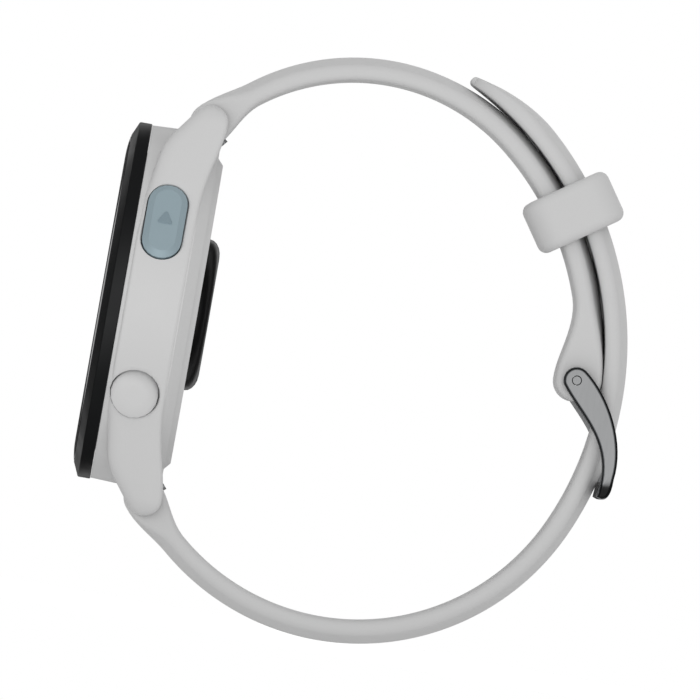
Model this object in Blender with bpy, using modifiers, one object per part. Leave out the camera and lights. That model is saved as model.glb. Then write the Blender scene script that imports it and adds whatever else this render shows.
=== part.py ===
"""Running watch with a satellite receiver, strap closed, as an assembly of separate solids.

Frame: the origin is the middle of the optical sensor's flat face. +X points to the wrist,
+Z to twelve o'clock and -Y to three o'clock. Every size is in metres.
"""

import math

import bmesh
import bpy
from mathutils import Matrix, Vector

# Clearances
SEAT = 0.0001              # between pieces that rest on one another
CLOSE_SEAT = 0.00003       # between bezel and case, where the joint shows
RUNNING = 0.0003           # round pieces that move, and round soft pieces
WELD = 0.000001            # vertices closer than this are one

# Case and bezel
CASE_RADIUS = 0.0214
CASE_WALL = 0.0034
CASE_BULGE = 0.00015       # how far the wall swells behind the bezel
CASE_BULGE_LENGTH = 0.0034
CASE_THICKNESS = 0.0117    # rear cover to front glass
BEZEL_HEIGHT = 0.00255
BEZEL_OVERHANG = 0.0001
BEZEL_CHAMFER_WIDTH = 0.0018
BEZEL_CHAMFER_DEPTH = 0.0008
BEZEL_LIP = 0.0010         # how far the bezel reaches inside the case's cavity
BEZEL_SKIRT = 0.00105
REAR_CHAMFER_WIDTH = 0.0015
REAR_CHAMFER_DEPTH = 0.00126
RIM_WIDTH = 0.0009
LEDGE_WIDTH = 0.0030
LEDGE_THICKNESS = 0.0024
GROOVE_WIDTH = 0.0009
GROOVE_DEPTH = 0.0008

# Lugs and the flanks that run into them
FLANK_PROUD = 0.0002              # beyond the swollen wall
FLANK_TURN = math.radians(22.5)   # where the round flank goes over into the flat of a lug
FLANK_FRONT = 0.00045             # behind the bezel's seat
FLANK_FLAT = 0.0122               # half length of the flank's straight front edge
FLANK_EDGE = 0.0006               # rounding of its edges
FLANK_ROOT = 0.0019               # how deep the flank is set into the round wall
LUG_SHOULDER_X = 0.00172          # corner of the lug's front edge, behind the bezel's seat
LUG_SHOULDER_Z = 0.00195          # and inside the case's radius
LUG_TIP = 0.00215
LUG_HOOK = 0.0026                 # how far the lug's rear edge runs straight in from its tip
LUG_RUN_OUT = 0.0040              # over which that edge joins the flank's rear edge
LUG_REACH = 0.0012                # spring bar beyond the case's radius
LUG_DEPTH = 0.0017                # spring bar in front of the case's rear rim
LUG_CLEARANCE = 0.00025           # strap to each lug

# Glass, display and what lies under them
GLASS_THICKNESS = 0.0014
GLASS_BEVEL_WIDTH = 0.0024
GLASS_BEVEL_DEPTH = 0.00025
DISPLAY_THICKNESS = 0.0010
ANTENNA_WIDTH = 0.0006
ANTENNA_GAP = math.radians(24)
CHASSIS_THICKNESS = 0.0011
CHASSIS_FLANGE = 0.0004
BOARD_THICKNESS = 0.0008
BATTERY_WIDTH = 0.0180
BATTERY_GAP = 0.0008        # to the ledge's opening and to the motor
BATTERY_CORNER = 0.0015
BATTERY_SWELL_ROOM = 0.0004
MOTOR_RADIUS = 0.0034
MOTOR_THICKNESS = 0.0027
MOTOR_INSET = 0.0039        # motor's axis inside the ledge's opening
BEEPER_RADIUS = 0.0026
BEEPER_THICKNESS = 0.0002
BEEPER_INSET = 0.0032

# Rear cover, sensor and charging socket
COVER_THICKNESS = 0.0012
COVER_PROUD = 0.0007
COVER_EDGE = 0.0004
SENSOR_HEIGHT = 0.0015
SENSOR_RADIUS = 0.00915
SENSOR_FLAT = 0.0071
SENSOR_PLUG = 0.0079
SENSOR_WALL = 0.0010
SENSOR_BOARD_THICKNESS = 0.0007
SENSOR_CHIP = 0.0022
SENSOR_CHIP_SPACING = 0.0036
SCREW_COUNT = 4
SCREW_SHANK = 0.00055
SCREW_LENGTH = 0.0030
SCREW_HEAD = 0.00115
SCREW_HEAD_DEPTH = 0.0006
SCREW_SOCKET = 0.0005
SCREW_SOCKET_DEPTH = 0.0004
PORT_WIDTH = 0.0072
PORT_HEIGHT = 0.0034
PORT_RECESS = 0.0004
PORT_INSET = 0.0024
CHARGE_PIN_COUNT = 4
CHARGE_PIN_RADIUS = 0.00045
CHARGE_PIN_PITCH = 0.0016
CHARGE_PIN_TAIL = 0.0003

# Buttons
BUTTON_DROP = 0.00345      # button axis behind the bezel's seat
BUTTON_RADIUS = 0.00285
BUTTON_CLOCK = math.radians(30)     # round buttons, from the three to nine o'clock line
START_WIDTH = 0.0047
START_LENGTH = 0.0094
START_CLOCK = math.radians(28)
BUTTON_PROUD = 0.00055
BUTTON_DOME = 0.0017       # over which a round button's top rounds off
START_BEVEL = 0.00075
BUTTON_EDGE_DEPTH = 0.0005
DOME_STEPS = 4
BUTTON_SKIRT = 0.0013
BUTTON_TRAVEL = 0.0004
BUTTON_GAP = 0.00013
STEM_RADIUS = 0.0008
STEM_LENGTH = 0.0034
SEAL_WIRE = 0.00027
SEAL_GLAND = 0.0010
CLIP_WIDTH = 0.0005
CLIP_THICKNESS = 0.00025
SWITCH_WIDTH = 0.0030
SWITCH_DEPTH = 0.0015
SWITCH_HEIGHT = 0.0017

# Strap: each half leaves its spring bar on one arc and goes over into the band's own circle
BAND_X = 0.0098
BAND_Z = -0.0013
BAND_RADIUS = 0.0360       # middle of the buckle half, where the halves lie on one another
LUG_ARC_12 = 0.0255
LUG_ARC_6 = 0.0287
STRAP_THICKNESS = 0.00285
STRAP_CROWN = 0.0011
STRAP_EDGE = 0.00032
STRAP_WIDTH = 0.0199
STRAP_END_WIDTH = 0.0183
STRAP_TAPER = 0.040
STRAP_OVERLAP_GAP = 0.00027
OVERLAP_START = 0.40               # share of the buckle half's length where it begins to fill that gap
OVERLAP_FULL = 0.60
STRAP_BARREL = 0.00245
BARREL_BLEND = 0.0066
PIN_BLEND = 0.0105
TAIL_ANGLE = math.radians(64.2)
TAIL_TAPER = 0.0105
TAIL_TAPER_POWER = 1.7
TAIL_TIP = 0.0011
TAIL_STATIONS = 7
TAIL_TIP_WIDTH = 0.0085
HOLE_LENGTH = 0.0030
HOLE_WIDTH = 0.0022
HOLE_PITCH = 0.0075
HOLES_TO_TIP = 5
HOLES_TO_LUG = 5
STRETCHED_HOLE = 0.0086
STRETCHED_HOLE_ANGLE = math.radians(-5.6)
STATION_STEP = 0.0030

# Spring bars
BAR_RADIUS = 0.00075
BAR_TIP = 0.00045
BAR_BORE = 0.00052
BAR_TIP_REACH = 0.0010     # into the lug
RELEASE_TRAVEL = 0.0016
RELEASE_POST = 0.00045
RELEASE_POST_PROUD = 0.0004
RELEASE_POST_Y = 0.0066
RELEASE_GUIDE = 0.0020
RELEASE_HEAD_START = 0.0040
COIL_TURNS = 6
COIL_WIRE = 0.00009
COIL_PITCH = 0.00065
POINTS_PER_TURN = 8

# Keeper
KEEPER_ANGLE = math.radians(34.4)
KEEPER_LENGTH = 0.00635
KEEPER_WALL = 0.0023
KEEPER_OUTER_WALL = 0.00195
KEEPER_SIDE_WALL = 0.0019
KEEPER_CORNER = 0.0030
KEEPER_EDGE = 0.0009
KEEPER_CLEARANCE = 0.00025

# Buckle, in the side view from its pin
PIN_ANGLE = math.radians(2.26)
PIN_RADIUS = 0.0005
ARM_THICKNESS = 0.0017
EYE_RADIUS = 0.0016
EYE_START = math.radians(206)
EYE_END = math.radians(51.6)
ARM_EDGE = 0.0003
CROSSBAR_REST = 0.00015    # crossbar above the tail
ARM_OUTER_HANDLES = (Vector((0.0042, -0.0013)), Vector((0.0069, -0.0065)))
ARM_OUTER_END = Vector((0.00622, -0.0110))
ARM_TIP_HANDLES = (Vector((0.00622, -0.0136)), Vector((0.0054, -0.0138)))
ARM_CORNER = 0.0026         # rounding between an arm and the crossbar
ARM_INNER_END = Vector((0.0045, -0.0133))
ARM_INNER_FACE = Vector((0.00469, -0.0116))   # top of the crossbar, on its inner face
ARM_INNER_HANDLES = (Vector((0.0049, -0.0062)), Vector((0.0009, -0.0039)))
TONGUE_WIDTH = 0.0022
TONGUE_RING = 0.00135
TONGUE_ROOT = 0.0012
TONGUE_TIP = 0.0008
TONGUE_HANDLES = (Vector((0.0030, -0.0022)), Vector((0.0054, -0.0065)))
TONGUE_BEND = Vector((0.00575, -0.0098))
TONGUE_END = Vector((0.00572, -0.0127))
TONGUE_SWING = math.radians(12)

# Facets round a full turn
LARGE_STEPS = 60
MIDDLE_STEPS = 40
SMALL_STEPS = 20
TINY_STEPS = 12

# Stations along the watch axis, from the wrist side to the front
x_back = -SENSOR_HEIGHT
x_cover = x_back - COVER_THICKNESS
x_ledge = x_cover - SEAT
x_rim = x_back - COVER_PROUD
x_chamfer = x_rim - REAR_CHAMFER_DEPTH
x_glass = x_back - CASE_THICKNESS
x_glass_back = x_glass + GLASS_THICKNESS
x_seat = x_glass + BEZEL_HEIGHT
x_skirt = x_seat + BEZEL_SKIRT
x_display = x_glass_back + SEAT + DISPLAY_THICKNESS
x_flange = max(x_skirt, x_display + CHASSIS_THICKNESS) + SEAT
x_chassis = x_flange + CHASSIS_FLANGE
x_board = x_chassis + SEAT + BOARD_THICKNESS
x_button = x_seat + BUTTON_DROP
x_bar = x_rim - LUG_DEPTH

# Radii and heights that follow from the sizes above
r_bezel = CASE_RADIUS + BEZEL_OVERHANG
r_glass_pocket = r_bezel - BEZEL_CHAMFER_WIDTH
r_cavity = CASE_RADIUS - CASE_WALL
r_window = r_cavity - BEZEL_LIP
r_rim = CASE_RADIUS - REAR_CHAMFER_WIDTH
r_cover_pocket = r_rim - RIM_WIDTH
r_ledge = r_cover_pocket - LEDGE_WIDTH
r_groove = r_cover_pocket - GROOVE_WIDTH
r_screws = (r_ledge + r_groove - GROOVE_WIDTH / 2) / 2
r_flank = CASE_RADIUS + CASE_BULGE + FLANK_PROUD
z_bar = CASE_RADIUS + LUG_REACH
lug_gap = STRAP_WIDTH + 2 * LUG_CLEARANCE
z_button = CASE_RADIUS * math.sin(BUTTON_CLOCK)
z_start = CASE_RADIUS * math.sin(START_CLOCK)
z_motor = MOTOR_INSET - r_ledge
z_beeper = r_ledge - BEEPER_INSET
z_port = PORT_INSET - r_ledge
r_board = r_flank - BUTTON_SKIRT - STEM_LENGTH - BUTTON_TRAVEL - RUNNING
band_centre = Vector((BAND_X, BAND_Z))
tail_radius = BAND_RADIUS + STRAP_THICKNESS + STRAP_OVERLAP_GAP
pin_radial = BAND_RADIUS - STRAP_THICKNESS / 2
pin_centre = band_centre + pin_radial * Vector((math.cos(PIN_ANGLE), math.sin(PIN_ANGLE)))

# Curves drawn in the side view lie in X and Z, those drawn from the front in Y and Z
SIDE_VIEW = Matrix(((1, 0, 0, 0), (0, 0, -1, 0), (0, 1, 0, 0), (0, 0, 0, 1)))
FRONT_VIEW = Matrix(((0, 0, 1, 0), (1, 0, 0, 0), (0, 1, 0, 0), (0, 0, 0, 1)))

# Name of a finish: colour as sRGB, roughness, metallic
FINISHES = {
    "pale_polymer": (0xCDCDCD, 0.45, 0.0),
    "black_polymer": (0x232425, 0.40, 0.0),
    "blue_grey_polymer": (0x95A7AF, 0.45, 0.0),
    "pale_silicone": (0xC6C6C6, 0.60, 0.0),
    "clear_glass": (0x0C0C0D, 0.05, 0.0),
    "dark_window": (0x0D0D0E, 0.12, 0.0),
    "steel": (0xA6A6A6, 0.30, 1.0),
    "gold_plate": (0xD9B56A, 0.25, 1.0),
    "board": (0x1C3A2B, 0.55, 0.0),
    "foil": (0x8B8D90, 0.35, 0.6),
    "rubber": (0x1B1B1B, 0.75, 0.0),
    "brass": (0xB59A55, 0.35, 1.0),
}


def linear(channel):
    """One sRGB channel from 0 to 255 as linear light."""
    share = channel / 255
    return share / 12.92 if share <= 0.04045 else ((share + 0.055) / 1.055) ** 2.4


def finish(name):
    """The material of that finish, made on first use."""
    found = bpy.data.materials.get(name)
    if found:
        return found
    colour, roughness, metallic = FINISHES[name]
    made = bpy.data.materials.new(name)
    made.use_nodes = True
    shader = made.node_tree.nodes["Principled BSDF"]
    channels = [linear(colour >> shift & 255) for shift in (16, 8, 0)]
    shader.inputs["Base Color"].default_value = (*channels, 1)
    shader.inputs["Roughness"].default_value = roughness
    shader.inputs["Metallic"].default_value = metallic
    return made


def new_collection(name):
    made = bpy.data.collections.new(name)
    bpy.context.scene.collection.children.link(made)
    return made


def add_object(name, data, collection):
    made = bpy.data.objects.new(name, data)
    collection.objects.link(made)
    return made


def tidy_mesh(mesh):
    """Weld a mesh and turn its faces outwards."""
    work = bmesh.new()
    work.from_mesh(mesh)
    bmesh.ops.remove_doubles(work, verts=work.verts, dist=WELD)
    bmesh.ops.dissolve_degenerate(work, dist=WELD, edges=work.edges)
    bmesh.ops.recalc_face_normals(work, faces=work.faces)
    work.to_mesh(mesh)
    work.free()


def settle(obj):
    """Make an object's modifiers, or its curve, and its placing into a welded mesh."""
    bpy.context.view_layer.update()
    depsgraph = bpy.context.evaluated_depsgraph_get()
    mesh = bpy.data.meshes.new_from_object(obj.evaluated_get(depsgraph))
    mesh.transform(obj.matrix_world)
    tidy_mesh(mesh)
    name = obj.name
    collection = obj.users_collection[0]
    bpy.data.objects.remove(obj)
    mesh.name = name
    return add_object(name, mesh, collection)


def as_cutter(obj):
    """Keep a solid as a tool: it is drawn as wire and is no part."""
    for collection in list(obj.users_collection):
        collection.objects.unlink(obj)
    cutters.objects.link(obj)
    obj.hide_render = True
    obj.display_type = "WIRE"
    return obj


def combine(obj, tools, operation):
    """Cut an object by tools, or join them to it."""
    for tool in tools:
        modifier = obj.modifiers.new(operation.title(), "BOOLEAN")
        modifier.operation = operation
        modifier.solver = "EXACT"
        modifier.object = as_cutter(tool)
    return settle(obj)


def rounded(obj, width, segments=2, angle=40):
    """Round the sharp edges of a mesh object."""
    modifier = obj.modifiers.new("Bevel", "BEVEL")
    modifier.limit_method = "ANGLE"
    modifier.angle_limit = math.radians(angle)
    modifier.width = width
    modifier.segments = segments
    return settle(obj)


def complete(obj, finish_name, origin=(0, 0, 0)):
    """Give a part its finish, smooth shading and origin."""
    obj.data.materials.clear()
    obj.data.materials.append(finish(finish_name))
    obj.data.shade_smooth()
    obj.data.set_sharp_from_angle(angle=math.radians(35))
    place = Vector(origin)
    obj.data.transform(Matrix.Translation(-place))
    obj.location = place
    return obj


def turned(name, profile, axis, steps, frame=Matrix.Identity(4), closed=False):
    """A solid turned about an axis of its frame from (along, radius) points."""
    places = {"X": lambda a, r: (a, 0, r), "Y": lambda a, r: (r, a, 0), "Z": lambda a, r: (r, 0, a)}
    work = bmesh.new()
    verts = [work.verts.new(places[axis](along, radius)) for along, radius in profile]
    for start, end in zip(verts, verts[1:]):
        work.edges.new((start, end))
    if closed:
        work.edges.new((verts[-1], verts[0]))
    mesh = bpy.data.meshes.new(name)
    work.to_mesh(mesh)
    work.free()
    obj = add_object(name, mesh, parts)
    obj.matrix_world = frame
    modifier = obj.modifiers.new("Screw", "SCREW")
    modifier.axis = axis
    modifier.steps = steps
    modifier.render_steps = steps
    modifier.use_merge_vertices = True
    modifier.merge_threshold = WELD
    return settle(obj)


def disc(name, axis, start, end, radius, steps, frame=Matrix.Identity(4)):
    """A plain round solid between two stations of an axis."""
    profile = [(start, 0), (start, radius), (end, radius), (end, 0)]
    return turned(name, profile, axis, steps, frame)


def prism(name, outlines, half_depth, frame):
    """Flat outlines, the later ones holes, given a depth on both sides of their plane."""
    curve = bpy.data.curves.new(name, "CURVE")
    curve.dimensions = "2D"
    curve.fill_mode = "BOTH"
    curve.extrude = half_depth
    for outline in outlines:
        spline = curve.splines.new("POLY")
        spline.points.add(len(outline) - 1)
        for point, (across, up) in zip(spline.points, outline):
            point.co = (across, up, 0, 1)
        spline.use_cyclic_u = True
    obj = add_object(name, curve, parts)
    obj.matrix_world = frame
    return settle(obj)


def skin(name, rings):
    """A solid through rings of equally many points, closed by a face at each end."""
    work = bmesh.new()
    loops = [[work.verts.new(point) for point in ring] for ring in rings]
    count = len(loops[0])
    for near, far in zip(loops, loops[1:]):
        for i in range(count):
            j = (i + 1) % count
            work.faces.new((near[i], near[j], far[j], far[i]))
    work.faces.new(loops[0])
    work.faces.new(loops[-1])
    mesh = bpy.data.meshes.new(name)
    work.to_mesh(mesh)
    work.free()
    tidy_mesh(mesh)
    return add_object(name, mesh, parts)


def arc(centre, radius, start, end, segments):
    """Points of an arc, both ends included."""
    turn = (end - start) / segments
    angles = [start + turn * i for i in range(segments + 1)]
    return [Vector(centre) + radius * Vector((math.cos(a), math.sin(a))) for a in angles]


def bezier(start, first, second, end, segments):
    """Points of a cubic curve, without its last one."""
    points = []
    for i in range(segments):
        t = i / segments
        u = 1 - t
        points.append(u**3 * start + 3 * u * u * t * first + 3 * u * t * t * second + t**3 * end)
    return points


def stadium(length, width, segments):
    """Outline with two half-round ends, long in its second direction."""
    radius = width / 2
    straight = (length - width) / 2
    upper = arc((0, straight), radius, 0, math.pi, segments)
    lower = arc((0, -straight), radius, math.pi, 2 * math.pi, segments)
    return upper + lower


def rounded_rectangle(width, height, corner, segments):
    """Rectangle outline with round corners, centred."""
    half_width = width / 2 - corner
    half_height = height / 2 - corner
    points = []
    for i, (sx, sy) in enumerate(((1, 1), (-1, 1), (-1, -1), (1, -1))):
        start = i * math.pi / 2
        points += arc((sx * half_width, sy * half_height), corner, start, start + math.pi / 2, segments)
    return points


def smooth(share):
    """Ease from 0 to 1."""
    t = min(max(share, 0), 1)
    return t * t * (3 - 2 * t)


def side_prism(name, outline, width, holes=()):
    """A side-view outline given a width across the watch."""
    return prism(name, [outline, *holes], width / 2, SIDE_VIEW)


def across_frame(x, z, y=0):
    """A frame at a point of the side view, with the world's directions."""
    return Matrix.Translation((x, y, z))


def make_lens():
    radius = r_glass_pocket - SEAT
    x_edge = x_glass + GLASS_BEVEL_DEPTH
    profile = [
        (x_glass, 0),
        (x_glass, radius - GLASS_BEVEL_WIDTH),
        (x_edge, radius),
        (x_glass_back, radius),
        (x_glass_back, 0),
    ]
    complete(turned("lens", profile, "X", LARGE_STEPS), "clear_glass")


def make_bezel():
    x_edge = x_glass + GLASS_BEVEL_DEPTH
    x_pocket = x_glass_back + SEAT
    profile = [
        (x_seat, r_bezel),
        (x_edge + BEZEL_CHAMFER_DEPTH, r_bezel),
        (x_edge, r_glass_pocket),
        (x_pocket, r_glass_pocket),
        (x_pocket, r_window),
        (x_skirt, r_window),
        (x_skirt, r_cavity - SEAT),
        (x_seat, r_cavity - SEAT),
    ]
    complete(turned("bezel", profile, "X", LARGE_STEPS, closed=True), "black_polymer")


def case_core():
    """Round middle case: front seat, rear chamfer, cover pocket, seal groove and screw ledge."""
    x_front = x_seat + CLOSE_SEAT
    groove_inner = r_groove - GROOVE_WIDTH
    profile = [
        (x_front, r_cavity),
        (x_front, CASE_RADIUS),
        (x_front + CASE_BULGE_LENGTH, CASE_RADIUS + CASE_BULGE),
        (x_chamfer, CASE_RADIUS + CASE_BULGE),
        (x_rim, r_rim),
        (x_rim, r_cover_pocket),
        (x_ledge, r_cover_pocket),
        (x_ledge, r_groove),
        (x_ledge - GROOVE_DEPTH, r_groove),
        (x_ledge - GROOVE_DEPTH, groove_inner),
        (x_ledge, groove_inner),
        (x_ledge, r_ledge),
        (x_ledge - LEDGE_THICKNESS, r_ledge),
        (x_ledge - LEDGE_THICKNESS, r_cavity),
    ]
    return turned("case_body", profile, "X", LARGE_STEPS, closed=True)


def flank_side_outline():
    """The flank and its two lugs as the side view shows them."""
    x_front = x_seat + FLANK_FRONT
    front = Vector((x_front, FLANK_FLAT))
    shoulder = Vector((x_seat + LUG_SHOULDER_X, CASE_RADIUS - LUG_SHOULDER_Z))
    bar = Vector((x_bar, z_bar))
    rear = Vector((x_chamfer, FLANK_FLAT))
    tip = arc(bar, LUG_TIP, math.radians(137), math.radians(0), 8)
    hook = tip[-1] - Vector((0, LUG_HOOK))
    run_out = rear + Vector((0, LUG_RUN_OUT))
    upper = [front, shoulder] + tip[:-1] + bezier(tip[-1], hook, run_out, rear, 5) + [rear]
    lower = [Vector((x, -z)) for x, z in reversed(upper)]
    return upper + lower


def flank_front_outline(side):
    """The same flank from the front: an arc, two flats to the lugs, and a root in the round wall."""
    half_gap = lug_gap / 2
    z_end = z_bar + LUG_TIP + RUNNING
    turn = arc((0, 0), r_flank, -FLANK_TURN, FLANK_TURN, 8)
    flat_run = (z_end - turn[-1].y) * math.tan(FLANK_TURN)
    y_tip = turn[-1].x - flat_run
    r_root = CASE_RADIUS - FLANK_ROOT
    root_angle = math.acos(half_gap / r_root)
    root = arc((0, 0), r_root, root_angle, -root_angle, 8)
    outline = turn + [Vector((y_tip, z_end)), Vector((half_gap, z_end))] + root
    outline += [Vector((half_gap, -z_end)), Vector((y_tip, -z_end))]
    return [Vector((side * y, z)) for y, z in outline]


def make_flank(side):
    """One flank with its lugs: where its side view and its front view meet."""
    flank = side_prism(f"flank_{side}", flank_side_outline(), 4 * CASE_RADIUS)
    front = prism(f"flank_front_{side}", [flank_front_outline(side)], CASE_THICKNESS, FRONT_VIEW)
    return rounded(combine(flank, [front], "INTERSECT"), FLANK_EDGE)


def button_frame(side, z):
    """Frame of a button: its third direction points out of the flank, its first to the wrist."""
    z_turn = r_flank * math.sin(FLANK_TURN)
    if abs(z) < z_turn:
        lean = math.asin(z / r_flank)
        y = r_flank * math.cos(lean)
    else:
        lean = math.copysign(FLANK_TURN, z)
        y = r_flank * math.cos(FLANK_TURN) - (abs(z) - z_turn) * math.tan(FLANK_TURN)
    out = Vector((0, side * math.cos(lean), math.sin(lean)))
    wrist = Vector((1, 0, 0))
    along = out.cross(wrist)
    turn = Matrix((wrist, along, out)).transposed().to_4x4()
    return Matrix.Translation((x_button, side * y, z)) @ turn


def button_list():
    """Name, side, height and outline size of each button."""
    round_size = (2 * BUTTON_RADIUS, 2 * BUTTON_RADIUS)
    return [
        ("start", -1, z_start, (START_LENGTH, START_WIDTH), "blue_grey_polymer"),
        ("back", -1, -z_button, round_size, "pale_polymer"),
        ("light", 1, z_button, round_size, "pale_polymer"),
        ("up", 1, 0.0, round_size, "pale_polymer"),
        ("down", 1, -z_button, round_size, "pale_polymer"),
    ]


def button_outline(size, inset):
    """Outline of a button cap, drawn in by an inset: round, or long with round ends."""
    length, width = size
    return stadium(length - 2 * inset, width - 2 * inset, 10)


def button_levels():
    """Heights below the flank: cap's underside, pocket floor, gland floor and stem end."""
    under = -BUTTON_SKIRT
    floor = under - BUTTON_TRAVEL - SEAT
    gland = floor - SEAL_GLAND
    return under, floor, gland, under - STEM_LENGTH


def button_pocket(name, size, frame):
    """Tools that open the case for a button: the cap's pocket, then the gland and stem hole."""
    under, floor, gland, end = button_levels()
    outline = button_outline(size, -BUTTON_GAP)
    rings = [[frame @ Vector((x, y, z)) for x, y in outline] for z in (floor, BUTTON_PROUD)]
    pocket = skin(f"pocket_{name}", rings)
    gland_radius = STEM_RADIUS + 2 * SEAL_WIRE + SEAT
    profile = [
        (floor + SEAT, 0),
        (floor + SEAT, gland_radius),
        (gland, gland_radius),
        (gland, STEM_RADIUS + SEAT),
        (end, STEM_RADIUS + SEAT),
        (end, 0),
    ]
    return [pocket, turned(f"gland_{name}", profile, "Z", TINY_STEPS, frame)]


def strap_room(name, z):
    """Tool that clears the space between two lugs for the strap's barrel."""
    radius = STRAP_BARREL + RUNNING
    return disc(name, "Y", -lug_gap / 2, lug_gap / 2, radius, MIDDLE_STEPS, across_frame(x_bar, z))


def lug_hole(name, side, z):
    """Tool for the blind hole that takes a spring bar's tip."""
    inner = side * (lug_gap / 2 - RUNNING)
    outer = side * (lug_gap / 2 + BAR_TIP_REACH + RUNNING)
    return disc(name, "Y", inner, outer, BAR_TIP + SEAT, TINY_STEPS, across_frame(x_bar, z))


def screw_frame(index):
    """Frame on a screw's axis, on the watch axis' level."""
    angle = math.pi / SCREW_COUNT + index * 2 * math.pi / SCREW_COUNT
    return Matrix.Translation((0, r_screws * math.cos(angle), r_screws * math.sin(angle)))


def make_case():
    case = combine(case_core(), [make_flank(-1), make_flank(1)], "UNION")
    tools = [strap_room("room_12", z_bar), strap_room("room_6", -z_bar)]
    for side in (-1, 1):
        tools.append(lug_hole(f"lug_hole_12_{side}", side, z_bar))
        tools.append(lug_hole(f"lug_hole_6_{side}", side, -z_bar))
    for name, side, z, size, _ in button_list():
        tools += button_pocket(name, size, button_frame(side, z))
    screw_end = x_ledge + SEAT - SCREW_LENGTH
    for i in range(SCREW_COUNT):
        hole = disc(f"boss_hole_{i}", "X", x_rim, screw_end, SCREW_SHANK + SEAT, TINY_STEPS, screw_frame(i))
        tools.append(hole)
    complete(combine(case, tools, "DIFFERENCE"), "pale_polymer")


def make_buttons():
    """Caps with their stems, ring seals, retaining rings and the switches that they press."""
    under, floor, gland, end = button_levels()
    for name, side, z, size, finish_name in button_list():
        frame = button_frame(side, z)
        axis_point = frame.translation
        shoulder = BUTTON_PROUD - BUTTON_EDGE_DEPTH
        edge, steps = (START_BEVEL, 1) if name == "start" else (BUTTON_DOME, DOME_STEPS)
        levels = [(under, 0)]
        for i in range(steps + 1):
            turn = math.pi / 2 * i / steps
            levels.append((shoulder + BUTTON_EDGE_DEPTH * math.sin(turn), edge * (1 - math.cos(turn))))
        rings = []
        for height, inset in levels:
            outline = button_outline(size, inset)
            rings.append([frame @ Vector((x, y, height)) for x, y in outline])
        cap = skin(f"button_{name}", rings)
        stem = disc(f"stem_{name}", "Z", end, shoulder, STEM_RADIUS, SMALL_STEPS, frame)
        complete(combine(cap, [stem], "UNION"), finish_name, axis_point)
        make_seal(name, frame, (floor + gland) / 2)
        make_clip(name, frame, end)
        make_switch(name, frame, end)


def make_seal(name, frame, height):
    """Ring seal round a stem, in its gland."""
    middle = STEM_RADIUS + SEAL_WIRE + SEAT / 2
    wire = SEAL_WIRE - SEAT / 2
    section = [(height + p.y, middle + p.x) for p in arc((0, 0), wire, 0, 2 * math.pi, 6)[:-1]]
    complete(turned(f"seal_{name}", section, "Z", TINY_STEPS, frame, closed=True), "rubber")


def make_clip(name, frame, end):
    """Retaining ring near a stem's inner end."""
    inner = STEM_RADIUS + SEAT / 2
    outer = STEM_RADIUS + CLIP_WIDTH
    low = end + SEAT
    high = low + CLIP_THICKNESS
    profile = [(low, inner), (low, outer), (high, outer), (high, inner)]
    made = turned(f"clip_{name}", profile, "Z", TINY_STEPS, frame, closed=True)
    complete(made, "steel", frame.translation)


def make_switch(name, frame, end):
    """Side-push switch under the main board, facing a stem."""
    face = end - BUTTON_TRAVEL - SEAT
    back = face - SWITCH_DEPTH
    top = x_board + SEAT - x_button
    outline = [(top, -SWITCH_WIDTH / 2), (top + SWITCH_HEIGHT, -SWITCH_WIDTH / 2)]
    outline += [(top + SWITCH_HEIGHT, SWITCH_WIDTH / 2), (top, SWITCH_WIDTH / 2)]
    rings = [[frame @ Vector((x, y, z)) for x, y in outline] for z in (back, face - SEAL_WIRE)]
    body = skin(f"switch_{name}", rings)
    plunger = disc(f"plunger_{name}", "Z", back + SEAT, face, STEM_RADIUS, TINY_STEPS, frame)
    complete(combine(body, [plunger], "UNION"), "steel")


def make_display():
    radius = r_window - ANTENNA_WIDTH - 2 * RUNNING
    made = disc("display_module", "X", x_glass_back + SEAT, x_display, radius, MIDDLE_STEPS)
    complete(made, "dark_window")


def make_antenna():
    """Open ring round the display."""
    outer = r_window - RUNNING / 2
    inner = outer - ANTENNA_WIDTH
    start = math.pi / 2 + ANTENNA_GAP / 2
    end = start + 2 * math.pi - ANTENNA_GAP
    outline = arc((0, 0), outer, start, end, 32) + arc((0, 0), inner, end, start, 32)
    half = DISPLAY_THICKNESS / 2 - SEAT
    frame = Matrix.Translation((x_display - DISPLAY_THICKNESS / 2, 0, 0)) @ FRONT_VIEW
    complete(prism("gps_antenna", [outline], half, frame), "brass")


def make_chassis():
    front = r_window - RUNNING / 2
    flange = r_cavity - RUNNING / 2
    x_front = x_display + SEAT
    profile = [(x_front, 0), (x_front, front), (x_flange, front)]
    profile += [(x_flange, flange), (x_chassis, flange), (x_chassis, 0)]
    complete(turned("chassis", profile, "X", MIDDLE_STEPS), "black_polymer")


def make_board():
    made = disc("main_board", "X", x_chassis + SEAT, x_board, r_board, MIDDLE_STEPS)
    complete(made, "board")


def make_battery():
    """Flat cell between the main board and the rear cover."""
    x_front = x_board + 2 * SEAT
    x_rear = x_cover - BATTERY_SWELL_ROOM
    reach = r_ledge - BATTERY_GAP
    z_top = math.sqrt(reach**2 - (BATTERY_WIDTH / 2) ** 2)
    z_foot = z_motor + MOTOR_RADIUS + BATTERY_GAP
    outline = rounded_rectangle(BATTERY_WIDTH, z_top - z_foot, BATTERY_CORNER, 3)
    frame = Matrix.Translation(((x_front + x_rear) / 2, 0, (z_top + z_foot) / 2)) @ FRONT_VIEW
    complete(prism("battery", [outline], (x_rear - x_front) / 2, frame), "foil")


def make_motor():
    x_front = x_board + SEAT
    frame = Matrix.Translation((0, 0, z_motor))
    made = disc("vibration_motor", "X", x_front, x_front + MOTOR_THICKNESS, MOTOR_RADIUS, SMALL_STEPS, frame)
    complete(made, "steel")


def make_beeper():
    x_rear = x_cover - SEAT
    frame = Matrix.Translation((0, 0, z_beeper))
    made = disc("beeper", "X", x_rear - BEEPER_THICKNESS, x_rear, BEEPER_RADIUS, SMALL_STEPS, frame)
    complete(made, "brass")


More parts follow.
